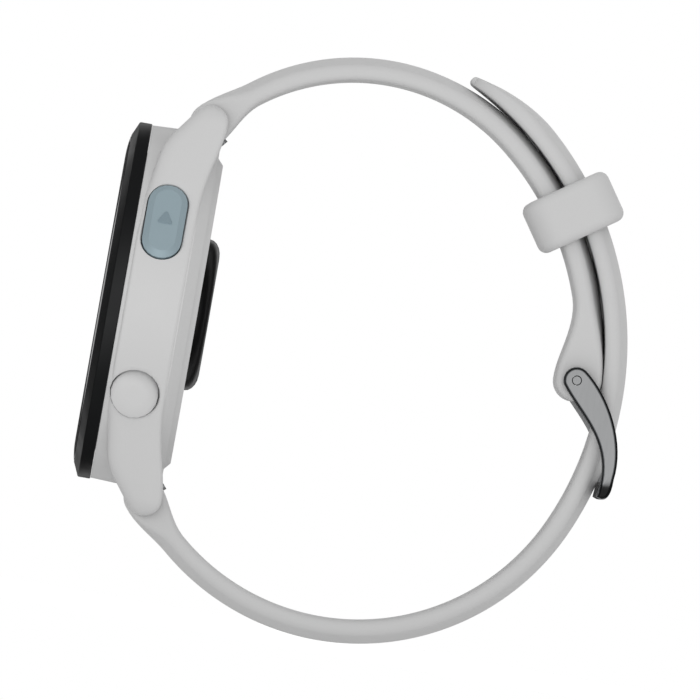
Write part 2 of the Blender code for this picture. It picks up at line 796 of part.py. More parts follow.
def make_rear_cover():
    """Disc with the sensor's hole, the charging socket's opening and countersunk screw holes."""
    outer = r_cover_pocket - SEAT
    inner = SENSOR_PLUG + SEAT
    profile = [
        (x_back, inner),
        (x_back, outer - COVER_EDGE),
        (x_back - COVER_EDGE / 2, outer),
        (x_cover, outer),
        (x_cover, inner),
    ]
    cover = turned("rear_cover", profile, "X", LARGE_STEPS, closed=True)
    outline = rounded_rectangle(PORT_WIDTH, PORT_HEIGHT, PORT_RECESS, 2)
    frame = Matrix.Translation((x_back, 0, z_port)) @ FRONT_VIEW
    tools = [prism("port_opening", [outline], 2 * COVER_THICKNESS, frame)]
    hole = SCREW_SHANK + SEAT
    head = SCREW_HEAD + SEAT
    floor = x_back - SCREW_HEAD_DEPTH - SEAT
    for i in range(SCREW_COUNT):
        profile = [(0, 0), (0, head), (floor, head), (floor, hole), (x_ledge - SEAT, hole)]
        profile.append((x_ledge - SEAT, 0))
        tools.append(turned(f"cover_hole_{i}", profile, "X", TINY_STEPS, screw_frame(i)))
    complete(combine(cover, tools, "DIFFERENCE"), "pale_polymer")


def make_screws():
    x_head = x_back - SEAT / 2
    x_shank = x_head - SCREW_HEAD_DEPTH
    x_end = x_ledge + 3 * SEAT - SCREW_LENGTH
    for i in range(SCREW_COUNT):
        profile = [(x_head, 0), (x_head, SCREW_HEAD), (x_shank, SCREW_HEAD), (x_shank, SCREW_SHANK)]
        profile += [(x_end, SCREW_SHANK), (x_end, 0)]
        screw = turned(f"cover_screw_{i + 1}", profile, "X", TINY_STEPS, screw_frame(i))
        x_floor = x_head - SCREW_SOCKET_DEPTH
        socket = disc(f"socket_{i + 1}", "X", x_floor, x_back, SCREW_SOCKET, 6, screw_frame(i))
        complete(combine(screw, [socket], "DIFFERENCE"), "steel")


def make_gasket():
    """Ring seal in the groove of the case's ledge."""
    middle = r_groove - GROOVE_WIDTH / 2
    wire = min(GROOVE_WIDTH, GROOVE_DEPTH) / 2 - SEAT / 2
    x_middle = x_ledge - GROOVE_DEPTH / 2
    section = [(x_middle + p.y, middle + p.x) for p in arc((0, 0), wire, 0, 2 * math.pi, 6)[:-1]]
    complete(turned("cover_gasket", section, "X", MIDDLE_STEPS, closed=True), "rubber")


def make_sensor_window():
    """Domed window with a flat face, hollow over the sensor's board."""
    x_foot = x_back + SEAT / 2
    hollow = SENSOR_PLUG - SENSOR_WALL
    edge_width = SENSOR_RADIUS - SENSOR_FLAT
    edge = [(x_foot * (1 - math.cos(a)), SENSOR_FLAT + edge_width * math.sin(a))
            for a in (math.pi / 2 * i / 5 for i in range(6))]
    profile = [(0, 0)] + edge
    profile += [(x_foot, SENSOR_PLUG), (x_cover, SENSOR_PLUG), (x_cover, hollow)]
    profile += [(-SENSOR_WALL, hollow), (-SENSOR_WALL, 0)]
    complete(turned("sensor_window", profile, "X", MIDDLE_STEPS), "dark_window")


def make_sensor_board():
    """Small board with a light source in its middle and four light detectors round it."""
    radius = SENSOR_PLUG - SENSOR_WALL - RUNNING
    x_front = x_cover + SEAT
    x_top = x_front + SENSOR_BOARD_THICKNESS
    board = disc("sensor_board", "X", x_front, x_top, radius, SMALL_STEPS)
    x_chip = -SENSOR_WALL - RUNNING
    x_root = x_top - SEAT
    chips = []
    offsets = [(0, 0), (1, 0), (-1, 0), (0, 1), (0, -1)]
    outline = rounded_rectangle(SENSOR_CHIP, SENSOR_CHIP, RUNNING, 1)
    for i, (across, up) in enumerate(offsets):
        place = ((x_chip + x_root) / 2, across * SENSOR_CHIP_SPACING, up * SENSOR_CHIP_SPACING)
        frame = Matrix.Translation(place) @ FRONT_VIEW
        chips.append(prism(f"chip_{i}", [outline], (x_chip - x_root) / 2, frame))
    complete(combine(board, chips, "UNION"), "board")


def charge_pin_frame(index):
    y = (index - (CHARGE_PIN_COUNT - 1) / 2) * CHARGE_PIN_PITCH
    return Matrix.Translation((0, y, z_port))


def make_charging_socket():
    """Insulating block in the cover's opening, with the contacts set in it."""
    x_face = x_back - PORT_RECESS
    x_rear = x_cover - SEAT
    outline = rounded_rectangle(PORT_WIDTH - 2 * SEAT, PORT_HEIGHT - 2 * SEAT, PORT_RECESS, 2)
    frame = Matrix.Translation(((x_face + x_rear) / 2, 0, z_port)) @ FRONT_VIEW
    block = prism("charge_port", [outline], (x_face - x_rear) / 2, frame)
    holes = []
    for i in range(CHARGE_PIN_COUNT):
        frame = charge_pin_frame(i)
        radius = CHARGE_PIN_RADIUS + SEAT / 2
        holes.append(disc(f"pin_hole_{i}", "X", x_rear - SEAT, x_back, radius, TINY_STEPS, frame))
        start = x_rear - CHARGE_PIN_TAIL
        end = x_face + SEAT
        pin = disc(f"charge_pin_{i + 1}", "X", start, end, CHARGE_PIN_RADIUS, TINY_STEPS, frame)
        complete(pin, "gold_plate")
    complete(combine(block, holes, "DIFFERENCE"), "black_polymer")


def strap_path(lug_arc, radius, end_angle, side, fine_end=0):
    """Stations of a strap half: distance, point and outward direction, from its spring bar on."""
    anchor = Vector((x_bar, side * z_bar))
    inner = radius - lug_arc
    to_bar = anchor - band_centre
    reach = to_bar.length
    along = (inner * inner - lug_arc * lug_arc + reach * reach) / (2 * reach)
    across = math.sqrt(inner * inner - along * along)
    unit = to_bar / reach
    arc_centre = band_centre + along * unit + side * across * Vector((unit.y, -unit.x))
    from_centre = anchor - arc_centre
    start = math.atan2(from_centre.y, from_centre.x)
    joint = arc_centre - band_centre
    join = math.atan2(joint.y, joint.x)
    legs = [(arc_centre, lug_arc, start, join), (band_centre, radius, join, end_angle)]
    stations = []
    travelled = 0
    for centre, leg_radius, begin, finish_angle in legs:
        run = abs(finish_angle - begin) * leg_radius
        last = centre is band_centre
        for share in leg_shares(run, fine_end if last else 0)[1 if stations else 0:]:
            angle = begin + (finish_angle - begin) * share
            out = Vector((math.cos(angle), math.sin(angle)))
            stations.append((travelled + run * share, centre + leg_radius * out, out))
        travelled += run
    return stations


def leg_shares(run, fine_end):
    """Where a leg's stations lie: evenly, and ever closer over a fine stretch at its end."""
    even = run - fine_end
    count = max(2, round(even / STATION_STEP))
    shares = [even / run * i / count for i in range(count + 1)]
    if fine_end:
        turns = [math.pi / 2 * i / TAIL_STATIONS for i in range(1, TAIL_STATIONS + 1)]
        shares += [(even + fine_end * math.sin(turn)) / run for turn in turns]
    return shares


def strap_width(distance):
    """Width of a strap at a distance from its spring bar."""
    return STRAP_WIDTH + (STRAP_END_WIDTH - STRAP_WIDTH) * smooth(distance / STRAP_TAPER)


def strap_solid(name, stations, faces, end_turn, widths, crowns):
    """A strap half, skinned across its width from its side outline.

    faces holds the outer and inner distance from the path at each station, end_turn the points
    of the far end, widths and crowns the width and the crown's share at each station.
    """
    outline = []
    for (_, point, out), (outer, _), width, crown in zip(stations, faces, widths, crowns):
        outline.append((point + outer * out, out, width, crown))
    outline += [(point, out, widths[-1], 0) for point, out in end_turn]
    for (_, point, out), (_, inner), width in reversed(list(zip(stations, faces, widths))):
        outline.append((point - inner * out, -out, width, 0))
    anchor, out = stations[0][1], stations[0][2]
    back = math.atan2(-out.y, -out.x)
    turn = 1 if anchor.y < 0 else -1
    for point in arc(anchor, STRAP_BARREL, back, back + turn * math.pi, 8)[1:-1]:
        direction = (point - anchor).normalized()
        outline.append((point, direction, widths[0], 0))
    rings = []
    edge = 1 - 2 * STRAP_EDGE / STRAP_END_WIDTH
    for share in (-1, -edge, -0.72, -0.4, 0, 0.4, 0.72, edge, 1):
        inset = STRAP_EDGE if abs(share) == 1 else 0
        sag = STRAP_CROWN * abs(share) ** 2.2
        ring = []
        for point, out, width, crown in outline:
            place = point - (inset + sag * crown) * out
            ring.append((place.x, share * width / 2, place.y))
        rings.append(ring)
    return strap_skin(name, rings, len(stations), len(end_turn))


def strap_skin(name, rings, station_count, end_count):
    """The skin over a strap's rings, its two side faces laid out in strips along the strap."""
    work = bmesh.new()
    loops = [[work.verts.new(point) for point in ring] for ring in rings]
    count = len(loops[0])
    for near, far in zip(loops, loops[1:]):
        for i in range(count):
            j = (i + 1) % count
            work.faces.new((near[i], near[j], far[j], far[i]))
    last = station_count - 1
    inner_end = station_count + end_count
    for ring in (loops[0], loops[-1]):
        for i in range(last):
            inner = inner_end + last - i
            work.faces.new((ring[i], ring[i + 1], ring[inner - 1], ring[inner]))
        work.faces.new(ring[last:inner_end + 1])
        work.faces.new(ring[inner_end + last:] + ring[:1])
    mesh = bpy.data.meshes.new(name)
    work.to_mesh(mesh)
    work.free()
    tidy_mesh(mesh)
    return add_object(name, mesh, parts)


def barrel_faces(distance):
    """Half thickness of a strap near its spring bar."""
    half = STRAP_THICKNESS / 2
    return STRAP_BARREL + (half - STRAP_BARREL) * smooth(distance / BARREL_BLEND)


def bar_tools(name, side):
    """Tools for a spring bar's bore and for the window that its finger post slides in."""
    frame = across_frame(x_bar, side * z_bar)
    bore = disc(f"bore_{name}", "Y", -STRAP_WIDTH, STRAP_WIDTH, BAR_RADIUS + SEAT, SMALL_STEPS, frame)
    start = RELEASE_POST_Y - RELEASE_TRAVEL - RELEASE_POST - RUNNING
    end = RELEASE_POST_Y + RELEASE_POST + RUNNING
    outline = stadium(end - start, 2 * (RELEASE_POST + RUNNING), 4)
    middle = (start + end) / 2
    reach = STRAP_BARREL + RELEASE_POST_PROUD
    post = post_frame(side)
    rings = [[post @ Vector((x, middle + y, z)) for x, y in outline] for z in (0, reach)]
    return [bore, skin(f"post_window_{name}", rings)]


def post_frame(side):
    """Frame of a finger post: its third direction points to the wrist, its second across."""
    out = Vector((math.cos(math.radians(40)), 0, -side * math.sin(math.radians(40))))
    across = Vector((0, 1, 0))
    turn = Matrix((across.cross(out), across, out)).transposed().to_4x4()
    return Matrix.Translation((x_bar, 0, side * z_bar)) @ turn


def make_buckle_half():
    """Strap half at twelve o'clock, which ends in the barrel round the buckle's pin."""
    stations = strap_path(LUG_ARC_12, BAND_RADIUS, PIN_ANGLE, 1)
    length = stations[-1][0]
    swell = STRAP_OVERLAP_GAP - SEAT
    faces = []
    widths = []
    crowns = []
    for distance, _, _ in stations:
        lug_side = barrel_faces(distance)
        filled = smooth((distance / length - OVERLAP_START) / (OVERLAP_FULL - OVERLAP_START))
        share = smooth((distance - length + PIN_BLEND) / PIN_BLEND)
        faces.append((lug_side + swell * filled, lug_side + STRAP_BARREL * share))
        widths.append(strap_width(distance))
        crowns.append(smooth(distance / BARREL_BLEND) * (1 - share))
    end_turn = pin_end(STRAP_THICKNESS + swell)
    strap = strap_solid("strap_buckle_half", stations, faces, end_turn, widths, crowns)
    bore = disc("bore_pin", "Y", -STRAP_WIDTH, STRAP_WIDTH, PIN_RADIUS + SEAT, SMALL_STEPS,
                across_frame(pin_centre.x, pin_centre.y))
    tools = bar_tools("12", 1) + [bore, tongue_room()]
    complete(combine(strap, tools, "DIFFERENCE"), "pale_silicone")


def pin_end(outer_reach):
    """Round end of the buckle half about the pin, from its outer face to its inner one."""
    points = []
    for i in range(1, 8):
        turn = math.pi * i / 8
        reach = STRAP_BARREL + (outer_reach - STRAP_BARREL) * max(0, math.cos(turn)) ** 2
        out = Vector((math.cos(PIN_ANGLE - turn), math.sin(PIN_ANGLE - turn)))
        points.append((pin_centre + reach * out, out))
    return points


def tongue_room():
    """Tool for the slot in the buckle half's barrel that the tongue turns in."""
    radius = TONGUE_RING + RUNNING
    reach = 2 * STRAP_BARREL
    rest = crossbar_turn() + math.atan2(TONGUE_HANDLES[0].y, TONGUE_HANDLES[0].x)
    lower = rest - math.radians(28)
    upper = rest + TONGUE_SWING + math.radians(16)
    back = arc(pin_centre, radius, upper + math.radians(40), lower - math.radians(40) + 2 * math.pi, 12)
    front = arc(pin_centre, reach, lower, upper, 4)
    return side_prism("tongue_room", back + front, TONGUE_WIDTH + 2 * RUNNING)


def make_tail_half():
    """Strap half at six o'clock, with its row of holes and its thin free tail."""
    stations = strap_path(LUG_ARC_6, tail_radius, TAIL_ANGLE, -1, TAIL_TAPER)
    length = stations[-1][0]
    half = STRAP_THICKNESS / 2
    faces = []
    widths = []
    crowns = []
    for distance, _, _ in stations:
        lug_side = barrel_faces(distance)
        share = max(0, (distance - length + TAIL_TAPER) / TAIL_TAPER)
        thin = (STRAP_THICKNESS - TAIL_TIP) * share**TAIL_TAPER_POWER
        faces.append((lug_side - thin, lug_side))
        round_end = math.sqrt(max(0, 1 - share**2))
        full = strap_width(distance)
        widths.append(TAIL_TIP_WIDTH + (full - TAIL_TIP_WIDTH) * round_end)
        crowns.append(smooth(distance / BARREL_BLEND) * (1 - thin / STRAP_THICKNESS))
    _, point, out = stations[-1]
    tip_radius = TAIL_TIP / 2
    tip_middle = point - (half - tip_radius) * out
    start = math.atan2(out.y, out.x)
    turn = arc(tip_middle, tip_radius, start, start + math.pi, 4)[1:-1]
    end_turn = [(place, (place - tip_middle).normalized()) for place in turn]
    crowns[-1] = 0
    strap = strap_solid("strap_tail_half", stations, faces, end_turn, widths, crowns)
    tools = bar_tools("6", -1) + hole_tools(stations)
    complete(combine(strap, tools, "DIFFERENCE"), "pale_silicone")


def hole_tools(stations):
    """Tools for the row of holes, the one in use drawn long by the tongue."""
    in_use = STRETCHED_HOLE_ANGLE
    joint = next(s for s in stations if (s[1] - band_centre).length > tail_radius - WELD)
    start = math.atan2(joint[2].y, joint[2].x)
    used_at = joint[0] + (in_use - start) * tail_radius
    tools = []
    for i in range(-HOLES_TO_LUG, HOLES_TO_TIP + 1):
        distance = used_at + i * HOLE_PITCH
        length = HOLE_LENGTH if i else STRETCHED_HOLE
        width = HOLE_WIDTH if i else TONGUE_WIDTH + 2 * RUNNING
        tools.append(strap_hole(f"hole_{i}", stations, distance, length, width))
    return tools


def strap_hole(name, stations, distance, length, width):
    """Tool for one hole, square to the strap at a distance along it."""
    for near, far in zip(stations, stations[1:]):
        if far[0] >= distance:
            break
    share = (distance - near[0]) / (far[0] - near[0])
    point = near[1].lerp(far[1], share)
    out = near[2].lerp(far[2], share).normalized()
    middle = Vector((point.x, 0, point.y))
    across = Vector((0, 1, 0))
    outward = Vector((out.x, 0, out.y))
    frame = Matrix((across, outward.cross(across), outward)).transposed().to_4x4()
    frame = Matrix.Translation(middle) @ frame
    reach = STRAP_THICKNESS
    outline = stadium(length, width, 5)
    return skin(name, [[frame @ Vector((x, y, z)) for x, y in outline] for z in (-reach, reach)])


def make_spring_bar(name, side):
    """Tube with its fixed tip, the sliding tip with its finger post, and the spring between."""
    frame = across_frame(x_bar, side * z_bar)
    tip_end = lug_gap / 2 + BAR_TIP_REACH
    shoulder = STRAP_WIDTH / 2 - RUNNING
    tube_end = RELEASE_HEAD_START - RELEASE_TRAVEL - SEAT
    guide_end = tube_end - RELEASE_GUIDE
    spring_end = guide_end - SEAT
    spring_start = spring_end - COIL_TURNS * COIL_PITCH - 2 * COIL_WIRE
    bore_floor = min(spring_start, guide_end - RELEASE_TRAVEL) - SEAT
    profile = [
        (-tip_end, 0),
        (-tip_end, BAR_TIP),
        (-shoulder, BAR_TIP),
        (-shoulder, BAR_RADIUS),
        (tube_end, BAR_RADIUS),
        (tube_end, BAR_BORE),
        (bore_floor, BAR_BORE),
        (bore_floor, 0),
    ]
    complete(turned(f"spring_bar_{name}", profile, "Y", TINY_STEPS, frame), "steel")
    profile = [
        (guide_end, 0),
        (guide_end, BAR_BORE - SEAT),
        (RELEASE_HEAD_START, BAR_BORE - SEAT),
        (RELEASE_HEAD_START, BAR_RADIUS),
        (shoulder, BAR_RADIUS),
        (shoulder, BAR_TIP),
        (tip_end, BAR_TIP),
        (tip_end, 0),
    ]
    pin = turned(f"release_pin_{name}", profile, "Y", TINY_STEPS, frame)
    reach = STRAP_BARREL + RELEASE_POST_PROUD
    post_place = post_frame(side) @ Matrix.Translation((0, RELEASE_POST_Y, 0))
    post = disc(f"post_{name}", "Z", 0, reach, RELEASE_POST, TINY_STEPS, post_place)
    complete(combine(pin, [post], "UNION"), "steel", frame.translation)
    make_coil(name, frame, spring_start)


def make_coil(name, frame, start):
    """Coil spring in a bar's bore, one open wire."""
    radius = BAR_BORE - COIL_WIRE - SEAT
    points = []
    for i in range(COIL_TURNS * POINTS_PER_TURN + 1):
        turn = i / POINTS_PER_TURN
        angle = 2 * math.pi * turn
        y = start + COIL_WIRE + turn * COIL_PITCH
        points.append(frame @ Vector((radius * math.cos(angle), y, radius * math.sin(angle))))
    gap = COIL_PITCH - 2 * COIL_WIRE
    print(f"bar_spring_{name}: least gap between turns {gap * 1000:.2f} mm")
    curve = bpy.data.curves.new(f"bar_spring_{name}", "CURVE")
    curve.dimensions = "3D"
    curve.bevel_depth = COIL_WIRE
    curve.bevel_resolution = 0
    curve.use_fill_caps = True
    spline = curve.splines.new("POLY")
    spline.points.add(len(points) - 1)
    for point, place in zip(spline.points, points):
        point.co = (*place, 1)
    complete(settle(add_object(f"bar_spring_{name}", curve, parts)), "steel")


def make_keeper():
    """Loop round both strap halves; it slides along the band's circle."""
    inner = BAND_RADIUS - STRAP_THICKNESS / 2 - KEEPER_CLEARANCE
    outer = tail_radius + STRAP_THICKNESS / 2 + KEEPER_CLEARANCE
    room_width = STRAP_END_WIDTH + 2 * RUNNING
    height = outer - inner + KEEPER_WALL + KEEPER_OUTER_WALL
    width = room_width + 2 * KEEPER_SIDE_WALL
    shift = (KEEPER_OUTER_WALL - KEEPER_WALL) / 2
    body = [(x + shift, y) for x, y in rounded_rectangle(height, width, KEEPER_CORNER, 4)]
    room = rounded_rectangle(outer - inner, room_width, KEEPER_CLEARANCE, 1)
    middle = band_centre + (inner + outer) / 2 * Vector((math.cos(KEEPER_ANGLE), math.sin(KEEPER_ANGLE)))
    out = Vector((math.cos(KEEPER_ANGLE), 0, math.sin(KEEPER_ANGLE)))
    across = Vector((0, 1, 0))
    turn = Matrix((out, across, out.cross(across))).transposed().to_4x4()
    frame = Matrix.Translation((middle.x, 0, middle.y)) @ turn
    keeper = rounded(prism("keeper", [body, room], KEEPER_LENGTH / 2, frame), KEEPER_EDGE)
    complete(keeper, "pale_silicone", (BAND_X, 0, BAND_Z))


def crossbar_turn():
    """How far the buckle turns about its pin until its crossbar lies on the tail."""
    reach = ARM_INNER_FACE.length
    target = tail_radius + STRAP_THICKNESS / 2 + CROSSBAR_REST
    cosine = (pin_radial**2 + reach**2 - target**2) / (2 * pin_radial * reach)
    lies_at = PIN_ANGLE + math.pi + math.acos(cosine)
    return lies_at - math.atan2(ARM_INNER_FACE.y, ARM_INNER_FACE.x) - 2 * math.pi


def buckle_frame_matrix():
    """Side-view frame at the pin, turned to where the buckle rests."""
    place = Matrix.Translation((pin_centre.x, 0, pin_centre.y))
    return place @ SIDE_VIEW @ Matrix.Rotation(crossbar_turn(), 4, "Z")


def arm_outline():
    """An arm of the buckle from its eye to the crossbar."""
    eye = arc((0, 0), EYE_RADIUS, EYE_START, EYE_END, 10)
    outer = bezier(eye[-1], *ARM_OUTER_HANDLES, ARM_OUTER_END, 8)
    tip = bezier(ARM_OUTER_END, *ARM_TIP_HANDLES, ARM_INNER_END, 6)
    inner = bezier(ARM_INNER_FACE, *ARM_INNER_HANDLES, eye[0], 8)
    return eye[:-1] + outer + tip + [ARM_INNER_END] + inner


def corner_tool(side, half_width, matrix):
    """Tool that rounds the outer corner between an arm and the crossbar."""
    low = min(point.y for point in arm_outline())
    middle = half_width - ARM_CORNER
    bend = arc((middle, low + ARM_CORNER), ARM_CORNER, 0, -math.pi / 2, 6)
    beyond = 2 * ARM_CORNER
    outline = bend + [Vector((middle, low - beyond)), Vector((half_width + beyond, low - beyond))]
    outline.append(Vector((half_width + beyond, low + ARM_CORNER)))
    upright = Matrix(((0, 0, -1, 0), (0, 1, 0, 0), (1, 0, 0, 0), (0, 0, 0, 1)))
    name = "corner_near" if side < 0 else "corner_far"
    return prism(name, [[(side * x, y) for x, y in outline]], 2 * ARM_OUTER_END.x, matrix @ upright)


def make_buckle_frame():
    """Two arms and the crossbar, bent from one piece, with a notch for the tongue's end."""
    inside = STRAP_END_WIDTH + 2 * RUNNING
    matrix = buckle_frame_matrix()
    width = inside + 2 * ARM_THICKNESS
    frame = prism("buckle_frame", [arm_outline()], width / 2, matrix)
    frame = rounded(frame, ARM_EDGE, 1)
    top = ARM_INNER_FACE.y + SEAT
    far = 2 * ARM_OUTER_END.x
    window = [(-far, top), (far, top), (far, far), (-far, far)]
    tools = [prism("buckle_window", [window], inside / 2, matrix)]
    notch_floor = TONGUE_BEND.x - TONGUE_TIP / 2 - SEAT
    notch = [(notch_floor, 2 * ARM_INNER_END.y), (far, 2 * ARM_INNER_END.y), (far, top + SEAT)]
    notch.append((notch_floor, top + SEAT))
    tools.append(prism("tongue_notch", [notch], TONGUE_WIDTH / 2 + RUNNING, matrix))
    for side in (-1, 1):
        tools.append(corner_tool(side, width / 2, matrix))
    pin = across_frame(pin_centre.x, pin_centre.y)
    tools.append(disc("eye_bore", "Y", -width, width, PIN_RADIUS + SEAT, SMALL_STEPS, pin))
    complete(combine(frame, tools, "DIFFERENCE"), "steel", pin.translation)


def tongue_outline():
    """The tongue from its ring on the pin through the strap to the crossbar."""
    middle = bezier(Vector((0, 0)), *TONGUE_HANDLES, TONGUE_BEND, 8) + [TONGUE_BEND, TONGUE_END]
    count = len(middle) - 1
    left = []
    right = []
    for i, point in enumerate(middle):
        ahead = middle[min(i + 1, count)] - middle[max(i - 1, 0)]
        across = Vector((ahead.y, -ahead.x)).normalized()
        half = (TONGUE_ROOT + (TONGUE_TIP - TONGUE_ROOT) * smooth(1.3 * i / count)) / 2
        left.append(point + half * across)
        right.append(point - half * across)
    return left + right[::-1]


def make_buckle_tongue():
    matrix = buckle_frame_matrix()
    half = TONGUE_WIDTH / 2
    blade = prism("buckle_tongue", [tongue_outline()], half, matrix)
    pin = across_frame(pin_centre.x, pin_centre.y)
    ring = disc("tongue_ring", "Y", -half, half, TONGUE_RING, SMALL_STEPS, pin)
    tongue = combine(blade, [ring], "UNION")
    bore = disc("tongue_bore", "Y", -2 * half, 2 * half, PIN_RADIUS + SEAT, SMALL_STEPS, pin)
    complete(combine(tongue, [bore], "DIFFERENCE"), "steel", pin.translation)


def make_buckle_pin():
    end = STRAP_END_WIDTH / 2 + RUNNING + ARM_THICKNESS - SEAT / 2
    frame = across_frame(pin_centre.x, pin_centre.y)
    complete(disc("buckle_pin", "Y", -end, end, PIN_RADIUS, TINY_STEPS, frame), "steel")


for old in list(bpy.data.objects):
    bpy.data.objects.remove(old, do_unlink=True)
parts = new_collection("running_watch")
cutters = new_collection("cutters")
make_lens()
make_bezel()
make_case()
make_buttons()
make_display()
make_antenna()
make_chassis()
make_board()
make_battery()
make_motor()
make_beeper()
make_rear_cover()
make_screws()
make_gasket()
make_sensor_window()
make_sensor_board()
make_charging_socket()
make_buckle_half()
make_tail_half()
make_spring_bar("12", 1)
make_spring_bar("6", -1)
make_keeper()
make_buckle_frame()
make_buckle_tongue()
make_buckle_pin()
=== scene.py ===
"""Looks of a running watch: finishes for its CAD pieces, finer outer pieces and a stage.

The pieces made here stand for the case, glass, rear cover, three round buttons, strap halves, keeper,
buckle frame and the spring bars' coils. The start mark is a new piece.
Every length is in metres, in the CAD frame: +X to the wrist, +Z to twelve o'clock, -Y to three o'clock.
"""

import math

import bmesh
import bpy
from bpy.props import FloatProperty, FloatVectorProperty, IntProperty, PointerProperty
from mathutils import Matrix, Vector


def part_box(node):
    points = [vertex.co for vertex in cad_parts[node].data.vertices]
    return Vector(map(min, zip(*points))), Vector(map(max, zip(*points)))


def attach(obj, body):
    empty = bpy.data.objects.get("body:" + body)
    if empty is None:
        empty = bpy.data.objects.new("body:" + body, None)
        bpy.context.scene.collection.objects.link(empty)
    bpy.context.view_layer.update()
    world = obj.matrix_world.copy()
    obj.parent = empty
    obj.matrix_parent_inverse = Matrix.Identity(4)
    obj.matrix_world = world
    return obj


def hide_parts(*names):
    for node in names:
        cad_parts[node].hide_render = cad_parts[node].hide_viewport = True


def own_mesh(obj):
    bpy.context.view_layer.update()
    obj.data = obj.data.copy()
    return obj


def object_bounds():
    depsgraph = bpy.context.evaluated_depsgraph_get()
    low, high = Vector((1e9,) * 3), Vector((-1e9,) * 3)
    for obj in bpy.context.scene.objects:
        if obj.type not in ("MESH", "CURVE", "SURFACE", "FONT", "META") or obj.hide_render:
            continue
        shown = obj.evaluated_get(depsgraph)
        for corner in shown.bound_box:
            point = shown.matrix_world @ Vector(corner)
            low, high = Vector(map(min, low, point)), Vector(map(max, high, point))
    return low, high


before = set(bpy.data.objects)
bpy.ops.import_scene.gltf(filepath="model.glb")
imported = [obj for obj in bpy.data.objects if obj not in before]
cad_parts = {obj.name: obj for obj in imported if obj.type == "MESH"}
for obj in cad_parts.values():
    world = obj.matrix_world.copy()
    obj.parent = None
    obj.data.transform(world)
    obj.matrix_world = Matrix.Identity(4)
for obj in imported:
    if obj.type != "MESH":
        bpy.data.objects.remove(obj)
cad_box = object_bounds()

bl_info = {
    "name": "Running watch looks",
    "version": (1, 0, 0),
    "blender": (4, 5, 0),
    "location": "View3D > Sidebar > Watch",
    "description": "Finishes, finer outer pieces and a stage for a packed running watch",
    "category": "Object",
}

BUTTONS = ("start", "back", "light", "up", "down")
WRIST = Vector((1, 0, 0))
ACROSS = Vector((0, 1, 0))
SHARP_ANGLE = math.radians(32)
BEVEL_ANGLE = math.radians(50)
WELD_DISTANCE = 0.000002
CUT_WELD_DISTANCE = 0.000003
TURN_SEGMENTS = 180
BORE_SEGMENTS = 24

# How far a tool reaches past what it cuts.
TOOL_OVERLAP = 0.002

# Between the strap and what goes round it, on each side.
STRAP_ROOM = 0.0003

# How much of a rounding is drawn, since its very end would be too steep.
ROUND_SHARE = 0.97

# Grains across one broad patch of a surface's roughness.
BROAD_PATCH = 25

# Grain lengths along a spring bar and along an arm of the buckle.
ALONG_BAR = (1, 30, 1)
ALONG_ARM = (4, 4, 40)


def linear(hex_colour):
    """An sRGB hex colour as linear red, green, blue and alpha."""
    channels = []
    for place in (0, 2, 4):
        share = int(hex_colour[place:place + 2], 16) / 255
        dark = share / 12.92
        light = ((share + 0.055) / 1.055) ** 2.4
        channels.append(dark if share <= 0.04045 else light)
    return (*channels, 1.0)


def shade(name, description, hex_colour):
    """A colour that a user can change."""
    return FloatVectorProperty(name=name, description=description, subtype="COLOR", size=4,
                               min=0, max=1, default=linear(hex_colour))


def metres(name, description, value):
    """A length that a user can change."""
    return FloatProperty(name=name, description=description, unit="LENGTH", subtype="DISTANCE",
                         precision=5, default=value)


def degrees(name, description, value):
    """An angle that a user can change."""
    return FloatProperty(name=name, description=description, unit="ROTATION", subtype="ANGLE",
                         default=math.radians(value))


def number(name, description, value, unit="NONE"):
    """A number that a user can change."""
    return FloatProperty(name=name, description=description, unit=unit, default=value)


class WatchFinishes(bpy.types.PropertyGroup):
    """Colours of the watch's materials"""

    case: shade("Case", "Moulded fibre-filled nylon of case and round buttons", "CFCFCF")
    start: shade("Start button", "Satin lacquer on the start button", "A2B5BD")
    # The start button's lacquer painted darker: painted shade for the raised triangle's edges.
    mark: shade("Start mark", "Satin lacquer on the start button's raised triangle", "8EA1AA")
    bezel: shade("Bezel", "Moulded black nylon", "18191A")
    silicone: shade("Silicone", "Moulded silicone of straps and keeper", "CACACA")
    steel: shade("Steel", "Stainless steel of buckle and spring bars", "A6A7A8")
    # Darker than the steel: a painted reflection of the dark surroundings in the polished edges.
    steel_edge_dark_reflection: shade("Polished steel", "Polished edges of the buckle", "6C6E70")
    glass: shade("Glass", "Front glass over a dark display", "0B0C0D")
    window: shade("Sensor window", "Black polycarbonate over the optical sensor", "0A0A0B")


